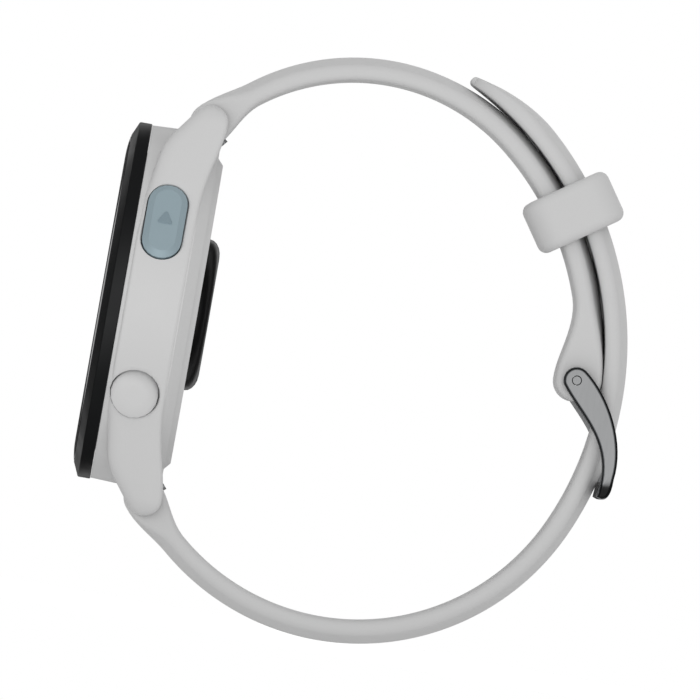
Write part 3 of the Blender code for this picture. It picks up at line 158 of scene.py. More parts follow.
class WatchCase(bpy.types.PropertyGroup):
    """Sizes of the case's outside"""

    radius: metres("Radius", "Round wall of the case", 0.0214)
    skim: metres("Skim", "How much finer the wall is turned than the CAD one", 0.00005)
    bulge: metres("Bulge", "How far the wall swells behind the bezel", 0.00015)
    bulge_length: metres("Bulge length", "Over which the wall swells", 0.0034)
    seat_x: metres("Seat X", "Where the bezel sits", -0.01065)
    chamfer_x: metres("Chamfer X", "Where the rear chamfer begins", -0.00346)
    rim_x: metres("Rim X", "Rear rim", -0.0022)
    rim_radius: metres("Rim radius", "Outside of the rear rim", 0.0199)
    glass_edge: metres("Glass edge", "Width over which the front glass rounds off", 0.0024)
    glass_drop: metres("Glass drop", "How far the front glass falls back at its edge", 0.00025)
    cover_chamfer: metres("Cover chamfer", "How far the rear cover's rim slopes in", 0.0008)
    flank_radius: metres("Flank radius", "Round part of the two flanks", 0.02175)
    flank_turn: degrees("Flank turn", "Where a flank goes over into the flat of a lug", 22.5)
    flank_x: metres("Flank X", "Straight front edge of a flank", -0.0102)
    flank_flat: metres("Flank flat", "Half length of that edge", 0.0122)
    flank_crown: metres("Flank crown", "How far a flank swells between its edges", 0.00012)
    root: metres("Root", "Radius down to which a flank is set into the wall", 0.0206)
    shoulder_x: metres("Shoulder X", "Corner in a lug's front edge", -0.00893)
    shoulder_z: metres("Shoulder Z", "Corner in a lug's front edge", 0.01945)
    lug_tip: metres("Lug tip", "Radius of a lug's end about its spring bar", 0.00215)
    lug_hook: metres("Lug hook", "How far a lug's rear edge runs straight from its tip", 0.0026)
    lug_run_out: metres("Lug run-out", "Over which that edge joins the flank's one", 0.0040)
    lug_gap: metres("Lug gap", "Between two lugs", 0.02044)
    bar_hole: metres("Bar hole", "Radius of the hole for a spring bar's tip", 0.00055)
    bar_reach: metres("Bar reach", "Depth of that hole", 0.0013)
    lug_round: metres("Lug rounding", "Soft front edge of a lug", 0.0018)
    flank_round: metres("Flank rounding", "Soft front edge of a flank", 0.0004)
    rear_round: metres("Rear rounding", "Soft rear edge of flank and lug", 0.0006)
    tip_round: metres("Tip rounding", "Soft end of a lug", 0.0019)
    button_x: metres("Button X", "Axis of all buttons", -0.0072)
    button_z: metres("Button Z", "Axis of the outer round buttons", 0.0107)
    button_width: metres("Button width", "Across a round button", 0.0057)
    button_tilt: number("Button tilt", "Slope of a round button's top", 0.17)
    button_dip: metres("Button dip", "How far a round button dips at its inner end", 0.00085)
    start_z: metres("Start Z", "Axis of the start button", 0.010047)
    start_length: metres("Start length", "Length of the start button", 0.0094)
    start_width: metres("Start width", "Width of the start button", 0.0047)
    pocket_gap: metres("Pocket gap", "Round a button", 0.00016)
    pocket_rim: metres("Pocket rim", "Rounding of a pocket's rim", 0.00022)


class WatchStrap(bpy.types.PropertyGroup):
    """Sizes of the strap, its keeper and the band's circle"""

    band_x: metres("Band centre X", "Centre of the band's circle", 0.0098)
    band_z: metres("Band centre Z", "Centre of the band's circle", -0.0013)
    band_radius: metres("Band radius", "Middle of the buckle half in the overlap", 0.0360)
    lug_arc_12: metres("Lug arc, 12 o'clock", "On which the buckle half leaves its bar", 0.0255)
    lug_arc_6: metres("Lug arc, 6 o'clock", "On which the tail half leaves its bar", 0.0287)
    bar_x: metres("Spring bar X", "Axis of both spring bars", -0.0039)
    bar_z: metres("Spring bar Z", "Axis of the upper spring bar", 0.0226)
    thickness: metres("Thickness", "Thickness of the strap", 0.00285)
    gap: metres("Overlap gap", "Between the two halves", 0.00027)
    filled_from: number("Gap filled from", "Share of the buckle half's length", 0.40)
    filled_at: number("Gap filled at", "Share of the buckle half's length", 0.60)
    crown: metres("Crown", "How far the outer face falls towards the edges", 0.0011)
    edge: metres("Edge", "Rounding of the strap's edges", 0.0007)
    width: metres("Width at the lugs", "Width at the spring bars", 0.0199)
    end_width: metres("End width", "Width beyond the taper", 0.0183)
    taper: metres("Taper length", "Over which the width changes", 0.040)
    barrel: metres("Barrel radius", "Round end about a spring bar or the buckle's pin", 0.00245)
    blend: metres("Barrel blend", "Over which a bar's barrel goes over into the strap", 0.0066)
    pin_blend: metres("Pin blend", "Over which the strap becomes the pin's barrel", 0.0105)
    pin_angle: degrees("Pin angle", "Where the buckle's pin lies on the band's circle", 2.26)
    tail_angle: degrees("Tail angle", "Where the free tail ends on the band's circle", 64.2)
    tail_taper: metres("Tail taper", "Over which the tail thins out", 0.0105)
    tail_tip: metres("Tail tip", "Thickness of the tail's tip", 0.0011)
    tail_tip_width: metres("Tail tip width", "Width at the very end of the tail", 0.0085)
    hole_length: metres("Hole length", "Length of a free hole", 0.0030)
    hole_width: metres("Hole width", "Width of a free hole", 0.0022)
    hole_pitch: metres("Hole pitch", "Between neighbouring holes", 0.0075)
    used_length: metres("Used hole length", "Length of the hole with the tongue", 0.0086)
    used_width: metres("Used hole width", "Width of the hole with the tongue", 0.0028)
    used_angle: degrees("Used hole angle", "Where the used hole lies on the band's circle", -5.6)
    holes_each_way: IntProperty(name="Holes each way", default=5,
                                description="Free holes on each side of the used one")
    keeper_angle: degrees("Keeper angle", "Where the keeper lies on the band's circle", 34.4)
    keeper_length: metres("Keeper length", "Along the strap", 0.00635)
    keeper_wall: metres("Keeper inner wall", "Under the strap", 0.0023)
    keeper_outer_wall: metres("Keeper outer wall", "Over the tail", 0.00195)
    keeper_side: metres("Keeper side wall", "Beside the strap", 0.0019)
    keeper_corner: metres("Keeper corner", "Outer rounding of its section", 0.0030)
    keeper_edge: metres("Keeper edge", "Rounding of its rims", 0.0011)


class WatchBuckle(bpy.types.PropertyGroup):
    """Sizes of the buckle's frame and of the spring bars' coils"""

    arm: metres("Arm thickness", "Across the watch", 0.0017)
    eye: metres("Eye radius", "Round end of an arm about the pin", 0.0016)
    pin: metres("Pin bore", "Radius of the bore for the pin", 0.0006)
    edge: metres("Edge", "Polished rounding along an arm's outer edges", 0.00036)
    corner: metres("Corner", "Rounding between an arm and the crossbar", 0.0026)
    rest: metres("Rest", "Crossbar above the tail", 0.00015)
    notch: metres("Notch width", "Room for the tongue's end in the crossbar", 0.0028)
    notch_floor: metres("Notch floor", "From the pin to the floor of the notch", 0.00525)
    wire: metres("Coil wire", "Radius of the wire of a spring bar's coil", 0.00009)
    release: metres("Release travel", "Way of a spring bar's sliding tip", 0.0016)


class WatchStage(bpy.types.PropertyGroup):
    """Camera, floor and light"""

    target_x: metres("Target X", "Point in the middle of the picture", 0.01726)
    target_z: metres("Target Z", "Point in the middle of the picture", -0.00097)
    distance: metres("Camera distance", "From the point in the middle of the picture", 2.5)
    picture: metres("Picture width", "Width that the picture shows at that point", 0.08361)
    turn: degrees("Camera turn", "To the wrist side of straight across", 0.627)
    rise: degrees("Camera rise", "Upwards from level", 0.447)
    roll: degrees("Camera roll", "About the line of sight", 10.0)
    ambient: number("Ambient light", "Light from all round", 0.78)
    side: number("Side screens", "What mirrored rays see at the sides", 0.05)
    ring: number("Pale ring", "What mirrored rays see round the middle behind the watch", 0.75)
    key: number("Key light", "Lamp beside the camera", 4.6, "POWER")
    fill: number("Fill light", "Lamp behind the watch", 3.6, "POWER")


def add_node(tree, kind, inputs=(), **settings):
    """Add a node, set its settings, and fill its inputs by value or by link."""
    made = tree.nodes.new(kind)
    for name, value in settings.items():
        setattr(made, name, value)
    for key, value in dict(inputs).items():
        if isinstance(value, bpy.types.NodeSocket):
            tree.links.new(value, made.inputs[key])
        else:
            made.inputs[key].default_value = value
    return made


def new_material(name, sockets):
    """A material with its shader's sockets set; returns the material, its tree and its shader."""
    made = bpy.data.materials.new(name)
    made.use_nodes = True
    shader = made.node_tree.nodes["Principled BSDF"]
    for socket, value in sockets.items():
        shader.inputs[socket].default_value = value
    return made, made.node_tree, shader


def grained(name, sockets, colour, size, depth, mottle, roughness, spread, stretch=(1, 1, 1)):
    """A material whose colour, roughness and relief have a fine surface grain.

    size is the grain's size and depth its relief in metres, mottle the share by which colour varies,
    spread by how much roughness varies, stretch the grain's length in each direction.
    """
    made, tree, shader = new_material(name, sockets)
    place = add_node(tree, "ShaderNodeTexCoord").outputs["Object"]
    scale = [1 / (size * share) for share in stretch]
    place = add_node(tree, "ShaderNodeMapping", {"Vector": place, "Scale": scale}).outputs["Vector"]
    fine = {"Vector": place, "Scale": 1, "Detail": 3, "Roughness": 0.6}
    fine = add_node(tree, "ShaderNodeTexNoise", fine).outputs["Fac"]
    broad = {"Vector": place, "Scale": 1 / BROAD_PATCH, "Detail": 2}
    broad = add_node(tree, "ShaderNodeTexNoise", broad).outputs["Fac"]
    darker = [channel * (1 - mottle) for channel in colour[:3]] + [1]
    lighter = [min(1, channel * (1 + mottle)) for channel in colour[:3]] + [1]
    mix = add_node(tree, "ShaderNodeMix", {0: fine, 6: darker, 7: lighter}, data_type="RGBA")
    tree.links.new(mix.outputs[2], shader.inputs["Base Color"])
    limits = {"Value": broad, "From Min": 0.3, "From Max": 0.7}
    limits |= {"To Min": roughness - spread, "To Max": roughness + spread}
    rough = add_node(tree, "ShaderNodeMapRange", limits)
    tree.links.new(rough.outputs[0], shader.inputs["Roughness"])
    relief = add_node(tree, "ShaderNodeBump", {"Height": fine, "Distance": depth, "Strength": 0.6})
    tree.links.new(relief.outputs["Normal"], shader.inputs["Normal"])
    return made


def moulded_nylon(name, colour, roughness=0.42, gloss=0.4):
    """Fibre-filled nylon, moulded in a spark-eroded tool: an even satin with a very fine grain.

    The real grain is about 0.05 mm; it is drawn at 0.16 mm so that it shows.
    """
    sockets = {"IOR": 1.53, "Specular IOR Level": gloss}
    return grained(name, sockets, colour, size=0.00016, depth=0.000012, mottle=0.025,
                   roughness=roughness, spread=0.05)


def moulded_silicone(name, colour):
    """Silicone rubber, moulded and powder-coated: matt, with a soft sheen at grazing angles."""
    sockets = {"IOR": 1.41, "Sheen Weight": 0.12, "Sheen Roughness": 0.5}
    return grained(name, sockets, colour, size=0.00022, depth=0.000010, mottle=0.02,
                   roughness=0.58, spread=0.06)


def satin_lacquer(name, colour):
    """Metallic lacquer on a polymer cap: blue-grey satin with a faint flake."""
    sockets = {"IOR": 1.5, "Metallic": 0.25, "Coat Weight": 0.15, "Coat Roughness": 0.3}
    return grained(name, sockets, colour, size=0.00012, depth=0.000006, mottle=0.05,
                   roughness=0.40, spread=0.04)


def brushed_steel(name, colour, stretch):
    """Stainless steel, brushed along its length: fine streaks that spread the light across them.

    The real brush lines are about 0.02 mm; they are drawn 0.07 mm wide so that they show.
    """
    sockets = {"Metallic": 1.0, "Anisotropic": 0.4}
    return grained(name, sockets, colour, size=0.00007, depth=0.000006, mottle=0.07,
                   roughness=0.30, spread=0.06, stretch=stretch)


def polished_steel(name, colour):
    """Stainless steel, polished, with faint haze from wear; its darker colour is a painted reflection."""
    return grained(name, {"Metallic": 1.0}, colour, size=0.0004, depth=0.000001, mottle=0.03,
                   roughness=0.14, spread=0.04)


def strengthened_glass(name, colour):
    """Chemically strengthened glass, polished, over a dark display: near black with sharp reflections."""
    sockets = {"IOR": 1.5, "Coat Weight": 0.3, "Coat Roughness": 0.02}
    return grained(name, sockets, colour, size=0.0015, depth=0.0000004, mottle=0.1,
                   roughness=0.06, spread=0.02)


def black_polycarbonate(name, colour):
    """Polycarbonate, moulded with a fine satin: black, with a faint ripple in its gloss."""
    sockets = {"IOR": 1.58, "Specular IOR Level": 0.3}
    return grained(name, sockets, colour, size=0.0012, depth=0.000001, mottle=0.15,
                   roughness=0.3, spread=0.05)


def thin_metal(name, colour):
    """Thin metal inside the watch, plated, rolled or laminated to foil: bright, with fine wear."""
    return grained(name, {"Metallic": 1.0}, colour, size=0.0001, depth=0.000003, mottle=0.08,
                   roughness=0.25, spread=0.08)


def board_lacquer(name, colour):
    """Epoxy lacquer, printed and cured on a circuit board: an even satin over its glass cloth."""
    sockets = {"IOR": 1.53, "Specular IOR Level": 0.4}
    return grained(name, sockets, colour, size=0.00016, depth=0.000012, mottle=0.025,
                   roughness=0.5, spread=0.05)


def finish_of(name):
    """The material of that name, made on first use from the user's colours."""
    found = bpy.data.materials.get(name)
    if found:
        return found
    colours = bpy.context.scene.watch_finishes
    bezel_roughness = 0.40
    bezel_gloss = 0.3
    inner_roughness = 0.45
    makers = {
        "case_nylon": (moulded_nylon, colours.case),
        "bezel_nylon": (moulded_nylon, colours.bezel, bezel_roughness, bezel_gloss),
        "inner_nylon": (moulded_nylon, linear("1A1B1C"), inner_roughness),
        "start_lacquer": (satin_lacquer, colours.start),
        "mark_lacquer": (satin_lacquer, colours.mark),
        "strap_silicone": (moulded_silicone, colours.silicone),
        "seal_rubber": (moulded_silicone, linear("1B1B1B")),
        "buckle_steel": (brushed_steel, colours.steel, ALONG_ARM),
        "polished_steel": (polished_steel, colours.steel_edge_dark_reflection),
        "bar_steel": (brushed_steel, colours.steel, ALONG_BAR),
        "front_glass": (strengthened_glass, colours.glass),
        "sensor_polycarbonate": (black_polycarbonate, colours.window),
        "contact_gold": (thin_metal, linear("D9B56A")),
        "sheet_brass": (thin_metal, linear("B59A55")),
        "pouch_foil": (thin_metal, linear("8B8D90")),
        "solder_mask": (board_lacquer, linear("1C3A2B")),
    }
    maker, *values = makers[name]
    return maker(name, *values)


def smooth_group():
    """Geometry nodes that shade a mesh smooth, apart from edges sharper than a limit."""
    found = bpy.data.node_groups.get("smooth_by_angle")
    if found:
        return found
    tree = bpy.data.node_groups.new("smooth_by_angle", "GeometryNodeTree")
    tree.interface.new_socket("Geometry", in_out="INPUT", socket_type="NodeSocketGeometry")
    tree.interface.new_socket("Geometry", in_out="OUTPUT", socket_type="NodeSocketGeometry")
    start = tree.nodes.new("NodeGroupInput").outputs[0]
    angle = add_node(tree, "GeometryNodeInputMeshEdgeAngle").outputs[0]
    gentle = add_node(tree, "FunctionNodeCompare", {0: angle, 1: SHARP_ANGLE}, operation="LESS_THAN")
    faces = add_node(tree, "GeometryNodeSetShadeSmooth", {0: start, 2: True}, domain="FACE")
    edges = {0: faces.outputs[0], 2: gentle.outputs[0]}
    edges = add_node(tree, "GeometryNodeSetShadeSmooth", edges, domain="EDGE")
    end = tree.nodes.new("NodeGroupOutput")
    tree.links.new(edges.outputs[0], end.inputs[0])
    return tree


def keep_flats(obj):
    """Shade flat faces flat beside soft edges."""
    weighted = obj.modifiers.new("Flat faces", "WEIGHTED_NORMAL")
    weighted.keep_sharp = True


def dress(node, finish, edge=0.0):
    """Give a CAD node its finish, weld its facets for smooth shading and round its edges."""
    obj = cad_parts[node]
    obj.data.materials.clear()
    obj.data.materials.append(finish_of(finish))
    weld = obj.modifiers.new("Weld", "WELD")
    weld.merge_threshold = WELD_DISTANCE
    if edge:
        bevel = obj.modifiers.new("Edge", "BEVEL")
        bevel.width = edge
        bevel.segments = 2
        bevel.limit_method = "ANGLE"
        bevel.angle_limit = BEVEL_ANGLE
    smoothing = obj.modifiers.new("Smooth", "NODES")
    smoothing.node_group = smooth_group()
    keep_flats(obj)


def new_object(name, data):
    """An object in the scene."""
    obj = bpy.data.objects.new(name, data)
    bpy.context.scene.collection.objects.link(obj)
    return obj


def add_piece(name, mesh, body, finish, replaced=()):
    """A new piece that rides on a CAD body."""
    mesh.name = name
    obj = new_object(name, mesh)
    if not mesh.materials:
        mesh.materials.append(finish_of(finish))
    mesh.shade_smooth()
    mesh.set_sharp_from_angle(angle=SHARP_ANGLE)
    keep_flats(obj)
    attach(obj, body)
    if replaced:
        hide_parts(*replaced)
    return obj


def mesh_from(work):
    """A mesh from bmesh work, its faces turned outwards."""
    bmesh.ops.recalc_face_normals(work, faces=work.faces)
    mesh = bpy.data.meshes.new("work")
    work.to_mesh(mesh)
    work.free()
    return mesh


def cad_copy(node):
    """A welded copy of a CAD node's mesh, with its bores and grooves."""
    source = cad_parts[node].data
    work = bmesh.new()
    points = [work.verts.new(vertex.co) for vertex in source.vertices]
    for face in source.polygons:
        work.faces.new([points[i] for i in face.vertices])
    bmesh.ops.remove_doubles(work, verts=work.verts, dist=WELD_DISTANCE)
    return mesh_from(work)


def bridge(work, near, far):
    """Faces between two closed rings of as many points."""
    count = len(near)
    for i in range(count):
        j = (i + 1) % count
        work.faces.new((near[i], near[j], far[j], far[i]))


def bridged(work, rings):
    """Faces from each ring of points to the next; returns the rings' vertices."""
    loops = [[work.verts.new(point) for point in ring] for ring in rings]
    for near, far in zip(loops, loops[1:]):
        bridge(work, near, far)
    return loops


def skin(rings):
    """A closed mesh through rings of equally many points."""
    work = bmesh.new()
    loops = bridged(work, rings)
    work.faces.new(loops[0])
    work.faces.new(loops[-1])
    return mesh_from(work)


def cut(mesh, tools, operation="DIFFERENCE"):
    """The mesh with tool meshes cut out of it, or joined or crossed with it."""
    holder = new_object("cut_work", mesh)
    helpers = [new_object("cut_tool", tool) for tool in tools]
    for helper in helpers:
        modifier = holder.modifiers.new("Cut", "BOOLEAN")
        modifier.operation = operation
        modifier.solver = "EXACT"
        modifier.object = helper
    bpy.context.view_layer.update()
    depsgraph = bpy.context.evaluated_depsgraph_get()
    result = bpy.data.meshes.new_from_object(holder.evaluated_get(depsgraph))
    for obj in [holder] + helpers:
        bpy.data.objects.remove(obj)
    work = bmesh.new()
    work.from_mesh(result)
    bmesh.ops.remove_doubles(work, verts=work.verts, dist=CUT_WELD_DISTANCE)
    bmesh.ops.dissolve_degenerate(work, edges=work.edges, dist=CUT_WELD_DISTANCE)
    work.to_mesh(result)
    work.free()
    return result


def unit(angle):
    """Direction at an angle in a plane."""
    return Vector((math.cos(angle), math.sin(angle)))


def quarter(segments):
    """Angles over a quarter turn, both ends included."""
    return [math.pi / 2 * i / segments for i in range(segments + 1)]


def arc(centre, radius, start, end, segments):
    """Points of an arc, both ends included."""
    turn = (end - start) / segments
    angles = [start + turn * i for i in range(segments + 1)]
    return [Vector(centre) + radius * unit(angle) for angle in angles]


def circle(radius, segments):
    """Points of a circle."""
    return arc((0, 0), radius, 0, 2 * math.pi, segments)[:-1]


def bezier(start, first, second, end, segments):
    """Points of a cubic curve, without its last one."""
    points = []
    for i in range(segments):
        t = i / segments
        u = 1 - t
        points.append(u**3 * start + 3 * u * u * t * first + 3 * u * t * t * second + t**3 * end)
    return points


def drawn_in(outline, depth):
    """A clockwise outline drawn in by a depth."""
    mitre_limit = 0.6
    points = []
    for before, point, after in zip(outline[-1:] + outline[:-1], outline, outline[1:] + outline[:1]):
        arriving = (point - before).normalized()
        ahead = (arriving + (after - point).normalized()).normalized()
        inward = Vector((ahead.y, -ahead.x))
        points.append(point + depth / max(mitre_limit, arriving.dot(ahead)) * inward)
    return points


def stadium(length, width, segments):
    """Outline with two half-round ends, long in its second direction."""
    straight = (length - width) / 2
    upper = arc((0, straight), width / 2, 0, math.pi, segments)
    return upper + arc((0, -straight), width / 2, math.pi, 2 * math.pi, segments)


def rounded_rectangle(width, height, corner, segments):
    """Rectangle outline with round corners, centred."""
    half_width = width / 2 - corner
    half_height = height / 2 - corner
    points = []
    for i, (side, level) in enumerate(((1, 1), (-1, 1), (-1, -1), (1, -1))):
        start = i * math.pi / 2
        centre = (side * half_width, level * half_height)
        points += arc(centre, corner, start, start + math.pi / 2, segments)
    return points


def smooth(share):
    """Ease from 0 to 1."""
    t = min(max(share, 0), 1)
    return t * t * (3 - 2 * t)


def placed(frame_matrix, outline, heights):
    """Rings of a flat outline at several heights of a frame."""
    return [[frame_matrix @ Vector((x, y, z)) for x, y in outline] for z in heights]


def axes_frame(origin, first, second, third):
    """A frame at a point with three directions."""
    return Matrix.Translation(origin) @ Matrix((first, second, third)).transposed().to_4x4()


def from_side(point):
    """A point or direction of the side view in the CAD frame."""
    return Vector((point.x, 0, point.y))


def across_frame(x, z):
    """A frame whose third direction runs across the watch."""
    return axes_frame((x, 0, z), WRIST, Vector((0, 0, -1)), ACROSS)


def turned(profile):
    """Solid turned about the watch's axis from places along it and radii."""
    turns = [2 * math.pi * i / TURN_SEGMENTS for i in range(TURN_SEGMENTS)]
    rings = []
    for x, radius in profile:
        rings.append([(x, radius * math.cos(turn), radius * math.sin(turn)) for turn in turns])
    return skin(rings)


def flank_out(sizes, z):
    """Distance of a flank's face from the watch's middle: on an arc, then on the flat of a lug."""
    turn_z = sizes.flank_radius * math.sin(sizes.flank_turn)
    if abs(z) < turn_z:
        return math.sqrt(sizes.flank_radius**2 - z**2)
    flat = sizes.flank_radius * math.cos(sizes.flank_turn)
    return flat - (abs(z) - turn_z) * math.tan(sizes.flank_turn)


def button_place(sizes, hand, z):
    """Frame of a button on a flank: to the wrist, along the flank, and out of it."""
    lean = math.asin(z / sizes.flank_radius)
    lean = max(-sizes.flank_turn, min(sizes.flank_turn, lean))
    out = Vector((0, hand * math.cos(lean), math.sin(lean)))
    return axes_frame((sizes.button_x, hand * flank_out(sizes, z), z), WRIST, out.cross(WRIST), out)


def round_drop(past, radius):
    """How far a rounding has fallen at a distance past its start."""
    past = min(max(0, past), ROUND_SHARE * radius)
    return radius - math.sqrt(radius**2 - past**2)


def cylinder(frame_matrix, radius, low, high, segments=BORE_SEGMENTS):
    """A round tool along its frame's third direction."""
    return skin(placed(frame_matrix, circle(radius, segments), (low, high)))


class StrapHalf:
    """Side view of a strap half: stations along its path, then its outline and its skin."""

    STEP = 0.0008
    EDGE_SEGMENTS = 4
    FACE_SEGMENTS = 7
    BARREL_SEGMENTS = 16
    FINE_STATIONS = 20
    CROWN_POWER = 2.2
    BAR_BORE = 0.00085
    POST_LEAN = math.radians(40)
    POST_Y = 0.0066
    POST_ROOM = 0.00075
    POST_SEGMENTS = 8

    def __init__(self, sizes, lug_arc, radius, end_angle, side, fine_end=0):
        self.sizes = sizes
        self.side = side
        self.centre = Vector((sizes.band_x, sizes.band_z))
        self.radius = radius
        self.anchor = Vector((sizes.bar_x, side * sizes.bar_z))
        self.stations = self.path(lug_arc, end_angle, fine_end)
        self.length = self.stations[-1][0]

    def path(self, lug_arc, end_angle, fine_end):
        """Distance, point and outward direction from the spring bar on.

        They lie on a lug arc, then on the band's circle.
        """
        inner = self.radius - lug_arc
        to_bar = self.anchor - self.centre
        reach = to_bar.length
        along = (inner**2 - lug_arc**2 + reach**2) / (2 * reach)
        across = math.sqrt(inner**2 - along**2)
        towards = to_bar / reach
        sideways = Vector((towards.y, -towards.x))
        arc_centre = self.centre + along * towards + self.side * across * sideways
        from_centre = self.anchor - arc_centre
        joint = arc_centre - self.centre
        start = math.atan2(from_centre.y, from_centre.x)
        self.join = math.atan2(joint.y, joint.x)
        self.join_distance = abs(self.join - start) * lug_arc
        legs = [(arc_centre, lug_arc, start, self.join), (self.centre, self.radius, self.join, end_angle)]
        stations = []
        travelled = 0
        for centre, leg_radius, begin, end in legs:
            run = abs(end - begin) * leg_radius
            last = centre is self.centre
            for share in self.leg_shares(run, fine_end if last else 0)[1 if stations else 0:]:
                out = unit(begin + (end - begin) * share)
                stations.append((travelled + run * share, centre + leg_radius * out, out))
            travelled += run
        return stations

    def leg_shares(self, run, fine_end):
        """Where a leg's stations lie: evenly, and ever closer over a fine stretch at its end."""
        even = run - fine_end
        count = round(even / self.STEP)
        shares = [even / run * i / count for i in range(count + 1)]
        if fine_end:
            turns = quarter(self.FINE_STATIONS)[1:]
            shares += [(even + fine_end * math.sin(turn)) / run for turn in turns]
        return shares

    def width_at(self, distance):
        """Width at a distance from the spring bar."""
        share = smooth(distance / self.sizes.taper)
        return self.sizes.width + (self.sizes.end_width - self.sizes.width) * share

    def barrel_at(self, distance):
        """Half the thickness near the spring bar's barrel."""
        half = self.sizes.thickness / 2
        return self.sizes.barrel + (half - self.sizes.barrel) * smooth(distance / self.sizes.blend)

    def frame_at(self, distance):
        """Frame on the strap: across it, along it, out of it."""
        near, far = next((a, b) for a, b in zip(self.stations, self.stations[1:]) if b[0] >= distance)
        share = (distance - near[0]) / (far[0] - near[0])
        point = near[1].lerp(far[1], share)
        out = near[2].lerp(far[2], share).normalized()
        outward = from_side(out)
        return axes_frame(from_side(point), ACROSS, outward.cross(ACROSS), outward)

    def cross_stations(self):
        """Share of the half width and inset of the faces, from one edge to the other."""
        edge = self.sizes.edge
        share_of_edge = 2 * edge / self.sizes.end_width
        half = []
        for turn in quarter(self.EDGE_SEGMENTS):
            half.append((1 - share_of_edge * (1 - math.cos(turn)), edge * (1 - math.sin(turn))))
        last = half[-1][0]
        for i in range(1, self.FACE_SEGMENTS + 1):
            half.append((last * (1 - i / self.FACE_SEGMENTS), 0))
        return half + [(-share, inset) for share, inset in reversed(half[:-1])]

    def mesh(self, rows, end_turn):
        """Skin across the width.

        rows holds the outer and inner distance from the path, the width and the crown's share at each
        station, end_turn the points and directions of the far end.
        """
        outline = []
        inside = []
        for (_, point, out), (outer, inner, width, crown) in zip(self.stations, rows):
            rounding = min(1, (outer + inner) / self.sizes.thickness)
            outline.append((point + outer * out, out, width, crown, rounding))
            inside.append((point - inner * out, -out, width, 0, rounding))
        end_width, _, end_rounding = inside[-1][2:]
        outline += [(point, out, end_width, 0, end_rounding) for point, out in end_turn]
        outline += reversed(inside)
        out = self.stations[0][2]
        back = math.atan2(-out.y, -out.x)
        turn = (back, back - self.side * math.pi)
        for point in arc(self.anchor, self.sizes.barrel, *turn, self.BARREL_SEGMENTS)[1:-1]:
            outline.append((point, (point - self.anchor).normalized(), self.width_at(0), 0, 1))
        rings = []
        for share, inset in self.cross_stations():
            sag = self.sizes.crown * abs(share) ** self.CROWN_POWER
            ring = []
            for point, out, width, crown, rounding in outline:
                place = point - (inset * rounding + sag * crown) * out
                ring.append((place.x, share * width / 2, place.y))
            rings.append(ring)
        return self.close(rings, len(end_turn))

    def close(self, rings, end_count):
        """Close the skin with strips along its two side faces."""
        work = bmesh.new()
        loops = bridged(work, rings)
        last = len(self.stations) - 1
        inner_end = last + 1 + end_count
        for ring in (loops[0], loops[-1]):
            for i in range(last):
                inner = inner_end + last - i
                work.faces.new((ring[i], ring[i + 1], ring[inner - 1], ring[inner]))
            work.faces.new(ring[last:inner_end + 1])
            work.faces.new(ring[inner_end + last:] + ring[:1])
        return mesh_from(work)

    def bar_tools(self, travel):
        """Tools for the spring bar's bore and for the window in which its finger post travels."""
        bar = across_frame(self.anchor.x, self.anchor.y)
        bore = cylinder(bar, self.BAR_BORE, -self.sizes.width, self.sizes.width)
        out = from_side(unit(-self.side * self.POST_LEAN))
        post = axes_frame(from_side(self.anchor), ACROSS.cross(out), ACROSS, out)
        room = self.POST_ROOM
        outline = stadium(travel + 2 * room, 2 * room, self.POST_SEGMENTS)
        window = [(x, y + self.POST_Y - travel / 2) for x, y in outline]
        return [bore, skin(placed(post, window, (0, self.sizes.barrel + room)))]


